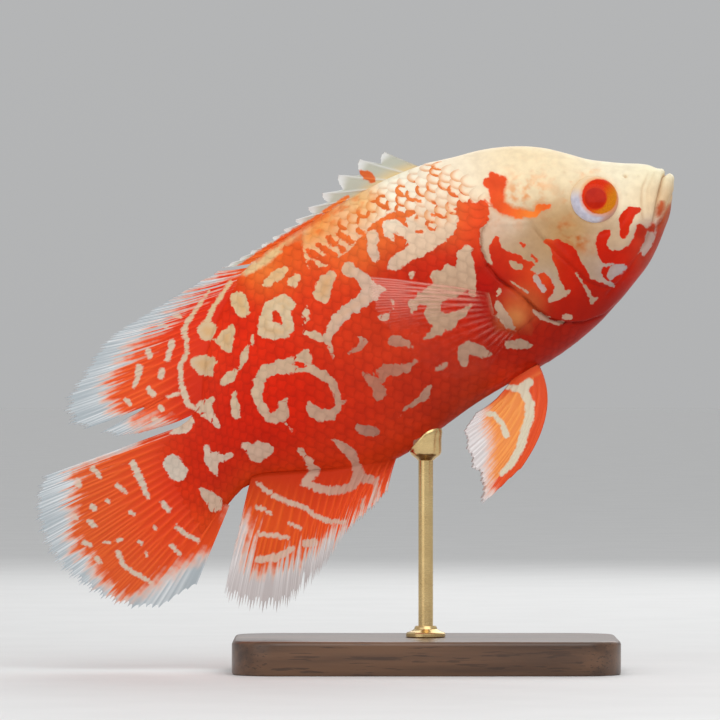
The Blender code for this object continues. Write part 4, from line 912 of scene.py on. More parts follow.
def pale_at(s, h, mark):
    """The pale tone, more ochre in the middle of the trunk's wider marks."""
    middle = rise(mark, 0.9, 2.8) * rise(s, 108, 118) * (1 - rise(s, 184, 192)) * rise(h, 18, 28)
    return tone(s, h, PALE_TONES) * (1 - middle[..., None] * np.array([0.0, 0.12, 0.28]))


print("strokes", len(CREAM), len(RED), len(FIN_CREAM))


# %% [markdown]
# ## Skin finish
#
# Wet fish skin is two things at once: an opaque colour layer with sharp but slightly ragged borders, and
# a thin clear slime that gives tight highlights. The borders come from the distance that each point
# carries plus a little noise; the slime is the shader's coat.

# %% Skin finish
def skin_finish(name, rim=False):
    """Two tones parted at zero distance, mottled, with a wet coat; with rim, painted shade on the scales' free
    edges, and without it, painted shade in the creases.
    """
    finish, tree, shader = new_finish(name)
    ragged = maths(tree, "MULTIPLY_ADD", noise(tree, 3.0, 2.0), 2.1, attribute(tree, "mark"))
    ragged = maths(tree, "MULTIPLY_ADD", noise(tree, 0.9, 2.0), 0.9, ragged)
    share = ramp(tree, maths(tree, "MULTIPLY", ragged, attribute(tree, "crisp")), -1.0, 1.0)
    mottle = ramp(tree, noise(tree, 5.0, 4.0), -0.3, 0.3)
    red = blend_colours(tree, mottle, (0.90, 0.84, 0.84, 1), (1.10, 1.12, 1.1, 1))
    red = blend_colours(tree, 1.0, attribute(tree, "red_tone", "Color"), red, "MULTIPLY")
    cloud = ramp(tree, noise(tree, 3.2, 4.0), -0.28, 0.28)
    pale = blend_colours(tree, cloud, (0.92, 0.90, 0.88, 1), (1.06, 1.06, 1.05, 1))
    pale = blend_colours(tree, 1.0, attribute(tree, "pale_tone", "Color"), pale, "MULTIPLY")
    blush = maths(tree, "MULTIPLY", ramp(tree, noise(tree, 4.0, 2.0), -0.07, 0.20), attribute(tree, "blush"))
    halo = maths(tree, "MULTIPLY", ramp(tree, ragged, 1.7, 0.1), attribute(tree, "blush"))
    orange = blend_colours(tree, 1.0, pale, (0.96, 0.46, 0.22, 1), "MULTIPLY")
    pale = blend_colours(tree, maths(tree, "MAXIMUM", blush, halo), pale, orange)
    if rim:
        pale = blend_colours(tree, attribute(tree, "edge"), pale, (0.88, 0.32, 0.08, 1))
    colour = blend_colours(tree, share, red, pale)
    if rim:
        # Painted shade: each scale is darkened towards its free edge, a little less on cream, and its middle is
        # lightened a little.
        depth = maths(tree, "MULTIPLY_ADD", share, 0.03, -0.13)
        shade = maths(tree, "MULTIPLY_ADD", ramp(tree, attribute(tree, "rim"), 0.55, 1.1), depth, 1.03)
        shade = node(tree, "ShaderNodeCombineColor", ((0, shade), (1, shade), (2, shade))).outputs[0]
        colour = blend_colours(tree, 1.0, colour, shade, "MULTIPLY")
    else:
        # Painted shade: mouth line, creases, slit and nostril are darkened by the share that the skin carries
        # for them.
        deep = blend_colours(tree, 1.0, colour, (0.62, 0.46, 0.38, 1), "MULTIPLY")
        colour = blend_colours(tree, attribute(tree, "crease_shade"), colour, deep)
    tree.links.new(colour, shader.inputs["Base Color"])
    rough = maths(tree, "MULTIPLY_ADD", noise(tree, 1.5), 0.25, 0.46)
    tree.links.new(rough, shader.inputs["Roughness"])
    shader.inputs["Coat Weight"].default_value = 0.05
    shader.inputs["Coat Roughness"].default_value = 0.14
    shader.inputs["Specular IOR Level"].default_value = 0.07
    bumps(tree, shader, noise(tree, 0.8, 3.0), 0.2, 0.1)
    return finish


fish_skin = skin_finish("wet_skin")
fish_scale = skin_finish("wet_scales", rim=True)

# %% The skin
sides = [skin, skin[:, 1:-1][:, ::-1] * np.array([1.0, 1.0, -1.0])]
ring = np.concatenate(sides, axis=1)
left_share = np.concatenate([np.ones(FLANK + 1, bool), np.zeros(FLANK - 1, bool)])
left_mark = markings(skin[..., 0], skin[..., 1], left=True)
right_mark = markings(skin[..., 0], skin[..., 1])
seam = np.minimum(np.arange(FLANK + 1), FLANK - np.arange(FLANK + 1)) / 6.0
seam = rise(seam, 0, 1)
left_mark = left_mark * seam + right_mark * (1 - seam)
skin_mark = np.concatenate([left_mark, right_mark[:, 1:-1][:, ::-1]], axis=1)
skin_points = place(ring[..., 0], ring[..., 1], ring[..., 2]).reshape(-1, 3)
snout = place(NOSE - 0.05, NOSE_HEIGHT, 0.0)
stub = place(TAIL_END + 0.2, 1.2, 0.0)
skin_points = np.concatenate([skin_points, [snout, stub]])


def crease_shade_at(s, h):
    """Share of painted shade in mouth line, creases, slit and nostril, from how far they are sunk."""
    near_eye = 1 - rise(np.hypot(s - EYE[0], h - EYE[1]), 10.5, 12.5)
    return np.clip(-relief(s, h) - 0.12, 0, 0.9) / 0.9 * (1 - near_eye)


crease_shade = crease_shade_at(ring_station, ring_height)


def with_ends(values, first, last):
    """Adds the values of the two closing points to those of a grid."""
    flat = np.asarray(values, float)
    flat = flat.reshape(-1, 3) if flat.ndim == 3 else flat.reshape(-1)
    return np.concatenate([flat, [first, last]])


ends_tone = ([0.8, 0.7, 0.5], [0.7, 0.1, 0.03])
body = mesh_piece(
    "fish_skin", skin_points, closed_faces(*ring.shape[:2]),
    {
        "mark": with_ends(skin_mark, 3.0, -3.0), "blush": with_ends(blush_at(ring[..., 0], ring[..., 1]), 0, 0),
        "crisp": with_ends(crisp_at(ring[..., 0], ring[..., 1]), 4.5, 4.5),
        "crease_shade": with_ends(np.concatenate([crease_shade, crease_shade[:, 1:-1][:, ::-1]], axis=1), 0, 0),
    },
    {
        "red_tone": with_ends(tone(ring[..., 0], ring[..., 1], RED_TONES), *ends_tone),
        "pale_tone": with_ends(pale_at(ring[..., 0], ring[..., 1], skin_mark), *ends_tone),
    },
)


def body_map(s, w, left):
    """Place on the body's unwrap: stations run across, girth runs up, right flank below left."""
    across = 0.01 + 0.98 * (s - NOSE) / (TAIL_END - NOSE)
    return np.stack([across, np.where(left, 0.505 + 0.485 * w, 0.495 - 0.485 * w)], axis=-1)


girth_share = np.concatenate([np.linspace(0, 1, FLANK + 1), np.linspace(1, 0, FLANK + 1)[1:-1]])
body_uv = body_map(ring[..., 0], girth_share[None, :] + 0 * ring[..., 0], left_share[None, :]).reshape(-1, 2)
lay_map(body, np.concatenate([body_uv, [[0.005, 0.5], [0.995, 0.5]]]))
dress(
    body, fish_skin, "red_and_cream_skin", "head", "jaw_lower", "gill_cover_right", "gill_cover_left",
    "trunk", "tail_stalk",
)

# %% [markdown]
# ## Scales
#
# An oscar of this size has about 35 scales from gill slit to tail and 28 rows from back to belly, each
# free at its rear edge and tucked under its neighbours in front. Each is one low, domed plate of a few
# dozen faces whose every point is read from the skin, so that the plates bend with the body. Rows are
# staggered by half a scale. The forehead, snout and lips are naked.

# %% Scale layout
ROW_APART, SCALE_STEP, REACH = 3.5, 3.9, 1.66
ROWS_EACH_WAY, FIRST_SCALE, LAST_SCALE = 18, 48.0, 203.0
ALONG, ACROSS = 8, 11
NAKED = (
    (-9, 70), (-9, -40), (50, -40), (50, -30), (52, -23.4), (58, -20), (61.5, -16), (63.5, -11), (64.8, -6),
    (66.6, -1), (69, 5), (70, 11), (68.6, 17), (66, 21.5), (62.5, 23.8), (58, 25), (55, 30), (56, 38), (60, 48),
    (64, 58), (66, 70),
)


def scale_roots():
    """Station, girth share and size of one flank's scales. Rows lie side by side from the middle of the
    flank, every other one half a step later, and end where the body tapers, as a real fish's do."""
    stations_of_rows = []
    for row in range(-ROWS_EACH_WAY, ROWS_EACH_WAY + 1):
        s = FIRST_SCALE + (row % 2) * 0.5 * SCALE_STEP
        while s < LAST_SCALE:
            size = 1 - 0.26 * float(rise(s, 140, 195)) - 0.12 * (1 - float(rise(s, 56, 72)))
            stations_of_rows.append((s, row, size))
            s += SCALE_STEP * size
    s, row, size = np.array(stations_of_rows).T
    share = 0.5 + row * ROW_APART * size / np.interp(s, stations, girth)
    inside = (share > 0.012) & (share < 0.988)
    return np.stack([s, share, size], axis=1)[inside]


def plate_shape():
    """One scale in its own measure: shares u from front to rear and v across, a round rear edge, and
    the lie of every point above the skin, from a tucked front to a free rear edge."""
    u = np.linspace(0, 1, ALONG)[:, None]
    v = np.linspace(-1, 1, ACROSS)[None, :]
    reach = (0.56 + 0.44 * np.sqrt(np.clip(1 - 0.97 * v**2, 0, 1))) * u
    spread = v * (0.92 + 0.08 * np.sin(math.pi * u))
    above = -0.08 + 0.25 * u * (1 - 0.25 * v**2) + 0.03 * (1 - v**2) * np.sin(math.pi * u)
    rim = np.clip(np.hypot((u - 0.42) / 0.58, v * 0.9), 0, 1.3)
    return u, v, reach, spread, above, rim


def scale_coat(left):
    """All scales of one flank: each plate's points are read from the skin, and one face closes it below."""
    roots = scale_roots()
    root_at, _ = on_skin(roots[:, 0], roots[:, 1])
    s, h = root_at[:, 0], root_at[:, 1]
    here = (outline(s, h, NAKED) < -1.7) & (lobe_share(s + 2.2, h) > 1.25)
    roots, root_at = roots[here], root_at[here]
    u, v, reach, spread, above, rim = plate_shape()
    size = roots[:, 2, None, None]
    s = np.clip(roots[:, 0, None, None] + REACH * SCALE_STEP * size * (reach - 0.22), NOSE, TAIL_END - 0.1)
    half = 0.97 * ROW_APART * roots[:, 2] / np.interp(roots[:, 0], stations, girth)
    w = np.clip(roots[:, 1, None, None] + half[:, None, None] * spread, 0.002, 0.998)
    at, normal = on_skin(s, w)
    at = at + normal * (above * size)[..., None]
    points = place(at[..., 0], at[..., 1], at[..., 2] * (1.0 if left else -1.0))
    mark = 0.85 * markings(at[..., 0], at[..., 1], left)
    mark += 0.15 * markings(root_at[:, 0] + 1.6 * roots[:, 2], root_at[:, 1], left)[:, None, None]
    rim = rim + 0 * mark
    uv = body_map(roots[:, 0], roots[:, 1], left)[:, None, None] + 0.003 * np.stack(
        np.broadcast_arrays(u - 0.5, v / 2), axis=-1
    )
    return points, plate_faces(len(roots), left), at, *netted(at[..., 0], at[..., 1], mark, rim), rim, uv


def plate_faces(count, left):
    """Faces of count plates of ALONG by ACROSS points: the top's quads, then one face for the underside."""
    per = ALONG * ACROSS
    top = sheet_faces(ALONG, ACROSS)
    under = np.concatenate([
        np.arange(ACROSS), np.arange(2, ALONG + 1) * ACROSS - 1,
        np.arange(per - 2, per - ACROSS - 1, -1), np.arange(ALONG - 2, 0, -1) * ACROSS,
    ])
    if left:
        under = under[::-1]
    else:
        top = top[:, ::-1]
    first = (np.arange(count) * per)[:, None]
    return (top[None] + first[:, None]).reshape(-1, 4).tolist() + (under[None] + first).tolist()


def netted(s, h, mark, rim):
    """On the nape and upper back pale scales have orange edges, some red, each scale by its own amount."""
    low = np.interp(s, [57, 80, 88, 110], [28, 30, 44, 46])
    net = rise(s, 57, 66) * (1 - rise(s, 106, 114)) * rise(h - low, 0, 4) * (1 - rise(h, 51, 55.5))
    amount = np.random.default_rng(5).uniform(-0.5, 1.4, (len(s), 1, 1)) + 0.6 * (1 - rise(h - low, 1, 12))
    edged = np.minimum(mark, 0.75) - np.clip(amount, 0, None) * rise(rim, 0.35, 1.0)
    edge = 0.8 * net * rise(amount, -0.8, 0.9) * rise(rim, 0.4, 1.0)
    return mark * (1 - net) + np.where(mark > -0.5, edged, mark) * net, edge


for is_left in (False, True):
    points, faces, at, mark, edge, rim, uv = scale_coat(is_left)
    s, h = at[..., 0], at[..., 1]
    coat = mesh_piece(
        "scales_left" if is_left else "scales_right", points.reshape(-1, 3), faces,
        {"mark": mark, "edge": edge, "rim": rim, "blush": blush_at(s, h), "crisp": crisp_at(s, h)},
        {"red_tone": tone(s, h, RED_TONES), "pale_tone": pale_at(s, h, mark)},
    )
    coat.data.set_sharp_from_angle(angle=math.radians(50))
    lay_map(coat, uv.reshape(-1, 2))
    print("scales", len(points))
    dress(coat, fish_scale, "red_and_cream_skin")

# %% [markdown]
# ## Fins
#
# A fin is a skin stretched over bony rays. Each soft ray is one rod at the root that splits in two and
# again in two towards the rim, and the clear skin between falls short of the tips, which leaves the comb
# of fine points round the tail. So a fin is one closed sheet: its thickness follows the rays, and
# its rim is cut back between them. The unpaired fins fade from red to a clear, bluish rim.

# %% Ray curves
FIN_ROOT_DEPTH = 2.4
SPINES, DORSAL_RAYS, ANAL_RAYS, TAIL_RAYS, PECTORAL_RAYS, PELVIC_RAYS = 13, 20, 19, 18, 13, 7
SPINE_ROOTS, SOFT_ROOTS, ANAL_ROOTS = (70.0, 136.0), (138.2, 183.0), (131.0, 180.2)
TAIL_ROOT = ((-17, 189.0), (-8, 194.5), (3, 197.6), (13, 195.8), (22, 190.0))
TAIL_ROOT_HEIGHTS = (20.2, -12.6)
SPINE_TIPS = (
    (0, 79.5, 64.3), (0.08, 88.0, 66.6), (0.17, 98.0, 66.0), (0.26, 106.8, 63.3), (0.35, 114.0, 61.6),
    (0.44, 120.5, 60.3), (0.6, 130.0, 59.7), (0.8, 140.5, 59.6), (1, 150.0, 60.0),
)
SOFT_TIPS = (
    (0, 152.0, 60.0), (0.12, 168.0, 60.6), (0.26, 184.0, 60.8), (0.40, 199.0, 60.4), (0.54, 213.0, 54.6),
    (0.66, 223.5, 48.8), (0.75, 225.0, 41.0), (0.82, 219.0, 35.2), (0.88, 215.0, 30.4), (0.94, 207.5, 26.6),
    (1, 195.0, 23.0),
)
ANAL_TIPS = (
    (0, 142.5, -38.2), (0.06, 149.8, -40.6), (0.12, 156.0, -41.7), (0.2, 164.0, -43.8), (0.3, 172.0, -47.6),
    (0.42, 181.0, -51.3), (0.55, 190.0, -53.6), (0.65, 197.0, -54.0), (0.75, 204.5, -49.6),
    (0.85, 209.4, -44.2), (0.93, 210.8, -38.8), (1, 203.0, -33.2),
)
TAIL_TIPS = (
    (0, 243.5, 31.2), (0.1, 248.6, 27.6), (0.2, 252.6, 21.8), (0.3, 255.0, 15.0), (0.4, 256.2, 8.0),
    (0.5, 255.8, 1.4), (0.6, 254.0, -5.0), (0.7, 251.0, -12.0), (0.8, 247.0, -19.0), (0.88, 241.5, -25.0),
    (0.94, 233.0, -30.0), (1, 217.0, -30.2),
)
PECTORAL_ROOTS = ((0, 73.0, 0.5), (0.5, 75.0, -6.5), (1, 73.0, -13.5))
PECTORAL_TIPS = (
    (0, 108.0, 30.0, 27.5), (0.2, 112.0, 21.5, 29.5), (0.4, 112.5, 10.0, 30.5), (0.6, 110.0, -4.0, 30.0),
    (0.8, 102.5, -16.5, 28.0), (1, 89.0, -20.0, 23.5),
)
PELVIC_ROOTS = ((0, 73.4, -28.2, 5.2), (1, 83.0, -27.6, 3.2))
PELVIC_TIPS = (
    (0, 98.0, -55.6, 15.0), (0.16, 116.0, -59.0, 15.6), (0.33, 112.6, -52.6, 14.2), (0.5, 112.6, -46.6, 12.6),
    (0.68, 110.5, -39.5, 10.6), (0.85, 107.5, -33.8, 8.6), (1, 101.0, -31.0, 6.6),
)
PELVIC_BENDS = (
    (0, 74.6, -46.0, 10.4), (0.3, 80.0, -45.0, 9.6), (0.65, 88.0, -38.0, 8.0), (1, 92.0, -31.8, 5.4),
)


def along(points, u):
    """Places at shares u along a curve through (share, station, height, ...) points."""
    table = np.array(points, float)
    return np.stack([through(table[:, (0, k)], u) for k in range(1, table.shape[1])], axis=-1)


def bent(roots, tips, bend_share, bow):
    """The middle place of each ray: partway along it, moved sideways by a part of its length."""
    run = tips - roots
    middle = roots + run * bend_share
    middle[:, 0] -= run[:, 1] * bow
    middle[:, 1] += run[:, 0] * bow
    return middle


# %% Fin sheets
RAY_STEPS, BELLY_STEPS, FIN_ROWS = 12, 20, 56


def comb(phase, count):
    """1 on the middle of each branch and 0 halfway between, count branches to a ray."""
    return 0.5 + 0.5 * np.cos(2 * math.pi * count * phase)


def ray_ridge(phase, t, spacing):
    """Ridge height, 0 to 1, of a ray that splits in two at 45 % and in four at 72 % of its length."""
    off = phase - np.round(phase)
    one = np.exp(-((off * spacing / 0.55) ** 2))
    two = np.exp(-(((np.abs(off) - 0.21) * spacing / 0.42) ** 2))
    four = np.exp(-(((np.abs(np.abs(off) - 0.25) - 0.125) * spacing / 0.32) ** 2))
    first, second = rise(t, 0.38, 0.5), rise(t, 0.66, 0.8)
    return one * (1 - first) + two * first * (1 - second) + four * second


def ray_spacing(grid, steps=RAY_STEPS):
    """Distance in mm from one ray to the next at every point of a sheet with steps columns to a ray."""
    return np.linalg.norm(np.gradient(grid, axis=0), axis=-1) * steps


def fin_grid(rays, roots, bends, tips, steps=RAY_STEPS, split=True, notch=0.05, fray=0.03):
    """Middle sheet of a fin. Columns are shares across the rays and rows run out along them, a quadratic
    curve by way of each bend; between rays the rim falls back by notch, and between branches by fray.
    Spines, which don't split, each carry a flag of skin behind them instead."""
    u = np.linspace(0, 1, (rays - 1) * steps + 1)
    phase = u * (rays - 1)
    t = np.linspace(0, 1, FIN_ROWS) ** 0.85
    a, b, c = roots(u), bends(u), tips(u)
    notch = notch(u) if callable(notch) else notch
    part = phase - np.floor(phase)
    flags = np.where(part < 0.86, (part / 0.86) ** 1.7, (1 - part) / 0.14)
    web = 1 - comb(phase, 1) if split else flags
    back = notch * web**0.8 + fray * (1 - comb(phase, 4))
    far = (t[None, :] * (1 - back[:, None] * t[None, :] ** 3))[..., None]
    grid = (1 - far) ** 2 * a[:, None] + 2 * far * (1 - far) * b[:, None] + far**2 * c[:, None]
    return u, phase, t, grid


def fin_sheet(name, grid, ridge, thin, thick, flesh, floats, colours, finish, slot, node_name):
    """Closes a fin: the middle sheet is moved out both ways by half its thickness, and rims are joined.
    Thin is the skin's thickness at the root, thick what a ray adds and flesh what the fleshy base adds."""
    columns, rows = grid.shape[:2]
    t = np.linspace(0, 1, rows)[None, :]
    base = flesh * np.clip(1 - t / 0.3, 0, 1) ** 2
    half = 0.5 * (thin * (1 - 0.5 * t) + (thick * (1 - 0.62 * t)) * ridge + base)
    normal = np.cross(np.gradient(grid, axis=0), np.gradient(grid, axis=1))
    normal /= np.linalg.norm(normal, axis=-1, keepdims=True) + 1e-12
    out = normal * half[..., None]
    both = np.concatenate([(grid + out).reshape(-1, 3), (grid - out).reshape(-1, 3)])
    front = sheet_faces(columns, rows)
    count = columns * rows
    rim = np.concatenate([
        np.arange(columns) * rows, (columns - 1) * rows + np.arange(1, rows),
        np.arange(columns - 2, -1, -1) * rows + rows - 1, np.arange(rows - 2, 0, -1),
    ])
    ahead = np.roll(rim, -1)
    wall = np.stack([ahead, rim, rim + count, ahead + count], axis=1)
    faces = np.concatenate([front, front[:, ::-1] + count, wall])
    twice = {key: np.concatenate([v.ravel(), v.ravel()]) for key, v in floats.items()}
    tones = {key: np.concatenate([v.reshape(-1, 3)] * 2) for key, v in colours.items()}
    piece = mesh_piece(name, place(both[:, 0], both[:, 1], both[:, 2]), faces, twice, tones)
    face_out(piece)
    u = 0.48 * np.repeat(np.linspace(0, 1, columns), rows)
    v = 0.01 + 0.98 * np.tile(np.linspace(0, 1, rows), columns)
    lay_map(piece, np.concatenate([np.stack([first + u, v], axis=1) for first in (0.01, 0.51)]))
    dress(piece, finish, slot, node_name)


def face_out(piece):
    """Turns all faces round when the closed mesh's signed volume is negative."""
    points = np.zeros(len(piece.data.vertices) * 3)
    piece.data.vertices.foreach_get("co", points)
    points = points.reshape(-1, 3)
    piece.data.calc_loop_triangles()
    tri = np.zeros(len(piece.data.loop_triangles) * 3, np.int32)
    piece.data.loop_triangles.foreach_get("vertices", tri)
    a, b, c = (points[tri.reshape(-1, 3)[:, k]] for k in range(3))
    if np.einsum("ij,ij->", a, np.cross(b, c)) < 0:
        piece.data.flip_normals()


# %% [markdown]
# Fin colour is red near the body, with rows of pale flecks, and runs out along the rays into a clear rim,
# which shows milky blue. The rim's start is an outline in the side view; each ray carries the red
# a little further than the skin beside it, which gives the streaked border.

# %% Fin finish
RED_REACH = (
    (150, 30), (60, 30), (62, 53), (70, 55.5), (86, 57.0), (90, 61.5), (94, 60.5), (97, 56.8), (112, 57.6),
    (150, 58.0), (154, 57.0), (163, 56.8), (172, 55.8), (180, 53.6), (190.4, 52.8), (197.6, 50.8), (204, 47.6),
    (208.8, 44.4), (210.4, 39.6), (208.8, 35.0), (206.0, 29.0), (196, 24.4), (203, 26.0), (229.6, 28.4),
    (233.6, 27.6), (240, 18), (244.8, 10), (246.4, 2), (246.4, -3.6), (247, -10), (244, -18.8), (236, -23.6),
    (228, -22.8), (217.6, -22.8), (209.4, -23.8), (206, -27), (199, -24), (191, -15), (190.4, -20.8),
    (194.2, -27.2), (198.6, -34), (196, -40.4), (188, -41.4), (178.4, -40.4), (168, -41.2), (160, -41.6),
    (150.4, -40.2), (130, -36), (125, -20),
)


def fin_finish(name, film, tip, clear=False):
    """Red, flecks and rim parted by distances that the sheet carries, with paler rays. The rim has one
    colour between the rays, film, and one on them, tip."""
    finish, tree, shader = new_finish(name)
    ray = attribute(tree, "ray")
    ragged = maths(tree, "MULTIPLY_ADD", noise(tree, 1.4, 2.0), 1.6, attribute(tree, "mark"))
    red = blend_colours(tree, ray, (0.97, 0.88, 0.84, 1), (1.16, 1.4, 1.3, 1))
    red = blend_colours(tree, 1.0, attribute(tree, "red_tone", "Color"), red, "MULTIPLY")
    pale = blend_colours(tree, ramp(tree, ragged, -0.35, 0.4), red, attribute(tree, "pale_tone", "Color"))
    rim = maths(tree, "MULTIPLY_ADD", ray, -2.4, attribute(tree, "rim"))
    rim = maths(tree, "MULTIPLY_ADD", noise(tree, 3.0, 3.0), 5.0, rim)
    veil = blend_colours(tree, ray, film, tip)
    warm = blend_colours(tree, ramp(tree, rim, -5.0, 0.0), pale, (0.84, 0.50, 0.38, 1))
    colour = blend_colours(tree, ramp(tree, rim, -3.0, 2.5), warm, veil)
    tree.links.new(colour, shader.inputs["Base Color"])
    shader.inputs["Roughness"].default_value = 0.45
    shader.inputs["Specular IOR Level"].default_value = 0.12
    shader.inputs["Coat Weight"].default_value = 0.08
    shader.inputs["Coat Roughness"].default_value = 0.2
    if clear:
        shown = maths(tree, "MULTIPLY_ADD", ray, attribute(tree, "ray_cover"), attribute(tree, "cover"))
        tree.links.new(shown, shader.inputs["Alpha"])
    bumps(tree, shader, noise(tree, 0.9, 2.0), 0.2, 0.1)
    return finish


fin_red = fin_finish("fin_red", (0.44, 0.49, 0.52, 1), (0.86, 0.875, 0.885, 1))
fin_rosy = fin_finish("fin_rosy", (0.60, 0.54, 0.53, 1), (0.90, 0.86, 0.85, 1))
fin_clear = fin_finish("fin_clear", (0.60, 0.54, 0.53, 1), (0.90, 0.86, 0.85, 1), clear=True)


# %% Unpaired fins
def flat_fin(
    name, node_name, rays, roots, tips, bend_share, bow, thin, thick, flesh,
    split=True, notch=0.04, fray=0.06, wave=0.5, finish=fin_red,
):
    """One of the fins in the fish's middle plane, with a slow ripple towards its rim."""
    def three(points):
        return np.concatenate([points, 0 * points[:, :1]], axis=1)

    u, phase, t, grid = fin_grid(
        rays, lambda x: three(roots(x)), lambda x: three(bent(roots(x), tips(x), bend_share, bow)),
        lambda x: three(tips(x)), split=split, notch=notch, fray=fray,
    )
    run_out = t[None, :] if split else 0 * t[None, :]
    ridge = ray_ridge(phase[:, None], run_out, ray_spacing(grid)) * rise(t, 0.02, 0.3)
    grid[..., 2] += wave * t[None, :] ** 2 * np.sin(2 * math.pi * (1.6 * u[:, None] + 0.5 * t[None, :]))
    s, h = grid[..., 0], grid[..., 1]
    lie = np.gradient(grid, axis=1)
    lie /= np.linalg.norm(lie, axis=-1, keepdims=True)
    knots = np.random.default_rng(rays).uniform(-1, 1, 6 * rays)
    drift = np.interp(6 * phase, np.arange(6 * rays), knots)[:, None]
    slip = 0.36 * drift
    fibre = np.random.default_rng(rays + 1).uniform(-0.4, 0.4, (len(u), 1)) * rise(t, 0.25, 0.8)
    calm = 1 - 0.85 * rise(u, 0.78, 0.92)[:, None]
    marks = list(FIN_CREAM.values()) + list(CREAM.values())
    mark = strokes(s + slip * lie[..., 0], h + slip * lie[..., 1], marks)
    rim = 3.4 * drift * calm - outline(s, h, RED_REACH)
    if name == "tail":
        rim = np.maximum(rim, 8 * (0.4 - phase[:, None]) - 12 * (1 - rise(t[None, :], 0.1, 0.4)))
    pale = pale_at(s, h, mark)
    if not split:
        mark, rim = -strokes(s, h, SPINY_RED), 0 * s - 12
        film, edge = (rise(t, low, high)[None, :, None] for low, high in ((0.1, 0.6), (0.75, 0.97)))
        edge = np.maximum(edge, 0.7 * ridge[..., None])
        pale = between(between([0.78, 0.56, 0.26], [0.52, 0.52, 0.43], film), [0.76, 0.76, 0.74], edge)
    fin_sheet(
        name, grid, ridge, thin, thick, flesh, {"mark": mark, "ray": np.clip(ridge + fibre, 0, 1), "rim": rim},
        {"red_tone": tone(s, h, RED_TONES), "pale_tone": pale}, finish, "fin_membrane", node_name,
    )


SPINY_RED = (
    ((90.4, 62.6, 0.9), (89.2, 60.6, 1.7), (88.4, 58.4, 1.3)), ((99.0, 57.8, 0.6), (109.0, 57.6, 0.7)),
    ((110.0, 57.4, 0.6), (122.0, 57.5, 0.8), (136.0, 57.2, 1.0), (150.0, 56.6, 1.0)),
)


def back_root(span):
    """Roots of a fin on the back, over a span of stations, a little inside the ridge."""
    def at(u):
        s = span[0] + u * (span[1] - span[0])
        return np.stack([s, through(BACK, s) - FIN_ROOT_DEPTH], axis=1)

    return at


def belly_root(u):
    """Roots of the anal fin, a little inside the belly's edge."""
    s = ANAL_ROOTS[0] + u * (ANAL_ROOTS[1] - ANAL_ROOTS[0])
    return np.stack([s, through(BELLY, s) + FIN_ROOT_DEPTH], axis=1)


def tail_root(u):
    """Roots of the tail fin, on the curve that ends the tail stalk."""
    h = TAIL_ROOT_HEIGHTS[0] + u * (TAIL_ROOT_HEIGHTS[1] - TAIL_ROOT_HEIGHTS[0])
    return np.stack([through(TAIL_ROOT, h) + 0.3, h], axis=1)


def tear(u):
    """The soft dorsal is torn between two rays near its rear end."""
    return 0.035 + 0.6 * np.exp(-(((u - 0.816) * (DORSAL_RAYS - 1) / 0.42) ** 2))


def splits(u):
    """The anal fin has two narrow splits near the middle of its rim."""
    place_of = (u * (ANAL_RAYS - 1))[..., None] - np.array([8.1, 9.2])
    return 0.04 + 0.3 * np.exp(-((place_of / 0.16) ** 2)).sum(axis=-1)


flat_fin(
    "spiny_dorsal", "dorsal_fin_spiny", SPINES, back_root(SPINE_ROOTS), lambda u: along(SPINE_TIPS, u),
    0.45, -0.02, 0.35, 0.9, 3.0, split=False, notch=lambda u: 0.36 - 0.27 * u, fray=0.012, wave=0.3,
)
flat_fin(
    "soft_dorsal", "dorsal_fin_soft", DORSAL_RAYS, back_root(SOFT_ROOTS), lambda u: along(SOFT_TIPS, u),
    0.5, -0.05, 0.35, 0.8, 5.0, notch=tear,
)
flat_fin(
    "anal", "anal_fin", ANAL_RAYS, belly_root, lambda u: along(ANAL_TIPS, u),
    0.5, 0.05, 0.35, 0.8, 6.5, notch=splits, fray=0.1, finish=fin_rosy,
)
flat_fin(
    "tail", "tail_fin", TAIL_RAYS, tail_root, lambda u: along(TAIL_TIPS, u),
    0.5, 0.0, 0.4, 0.85, 2.6, notch=0.03, fray=0.045,
)


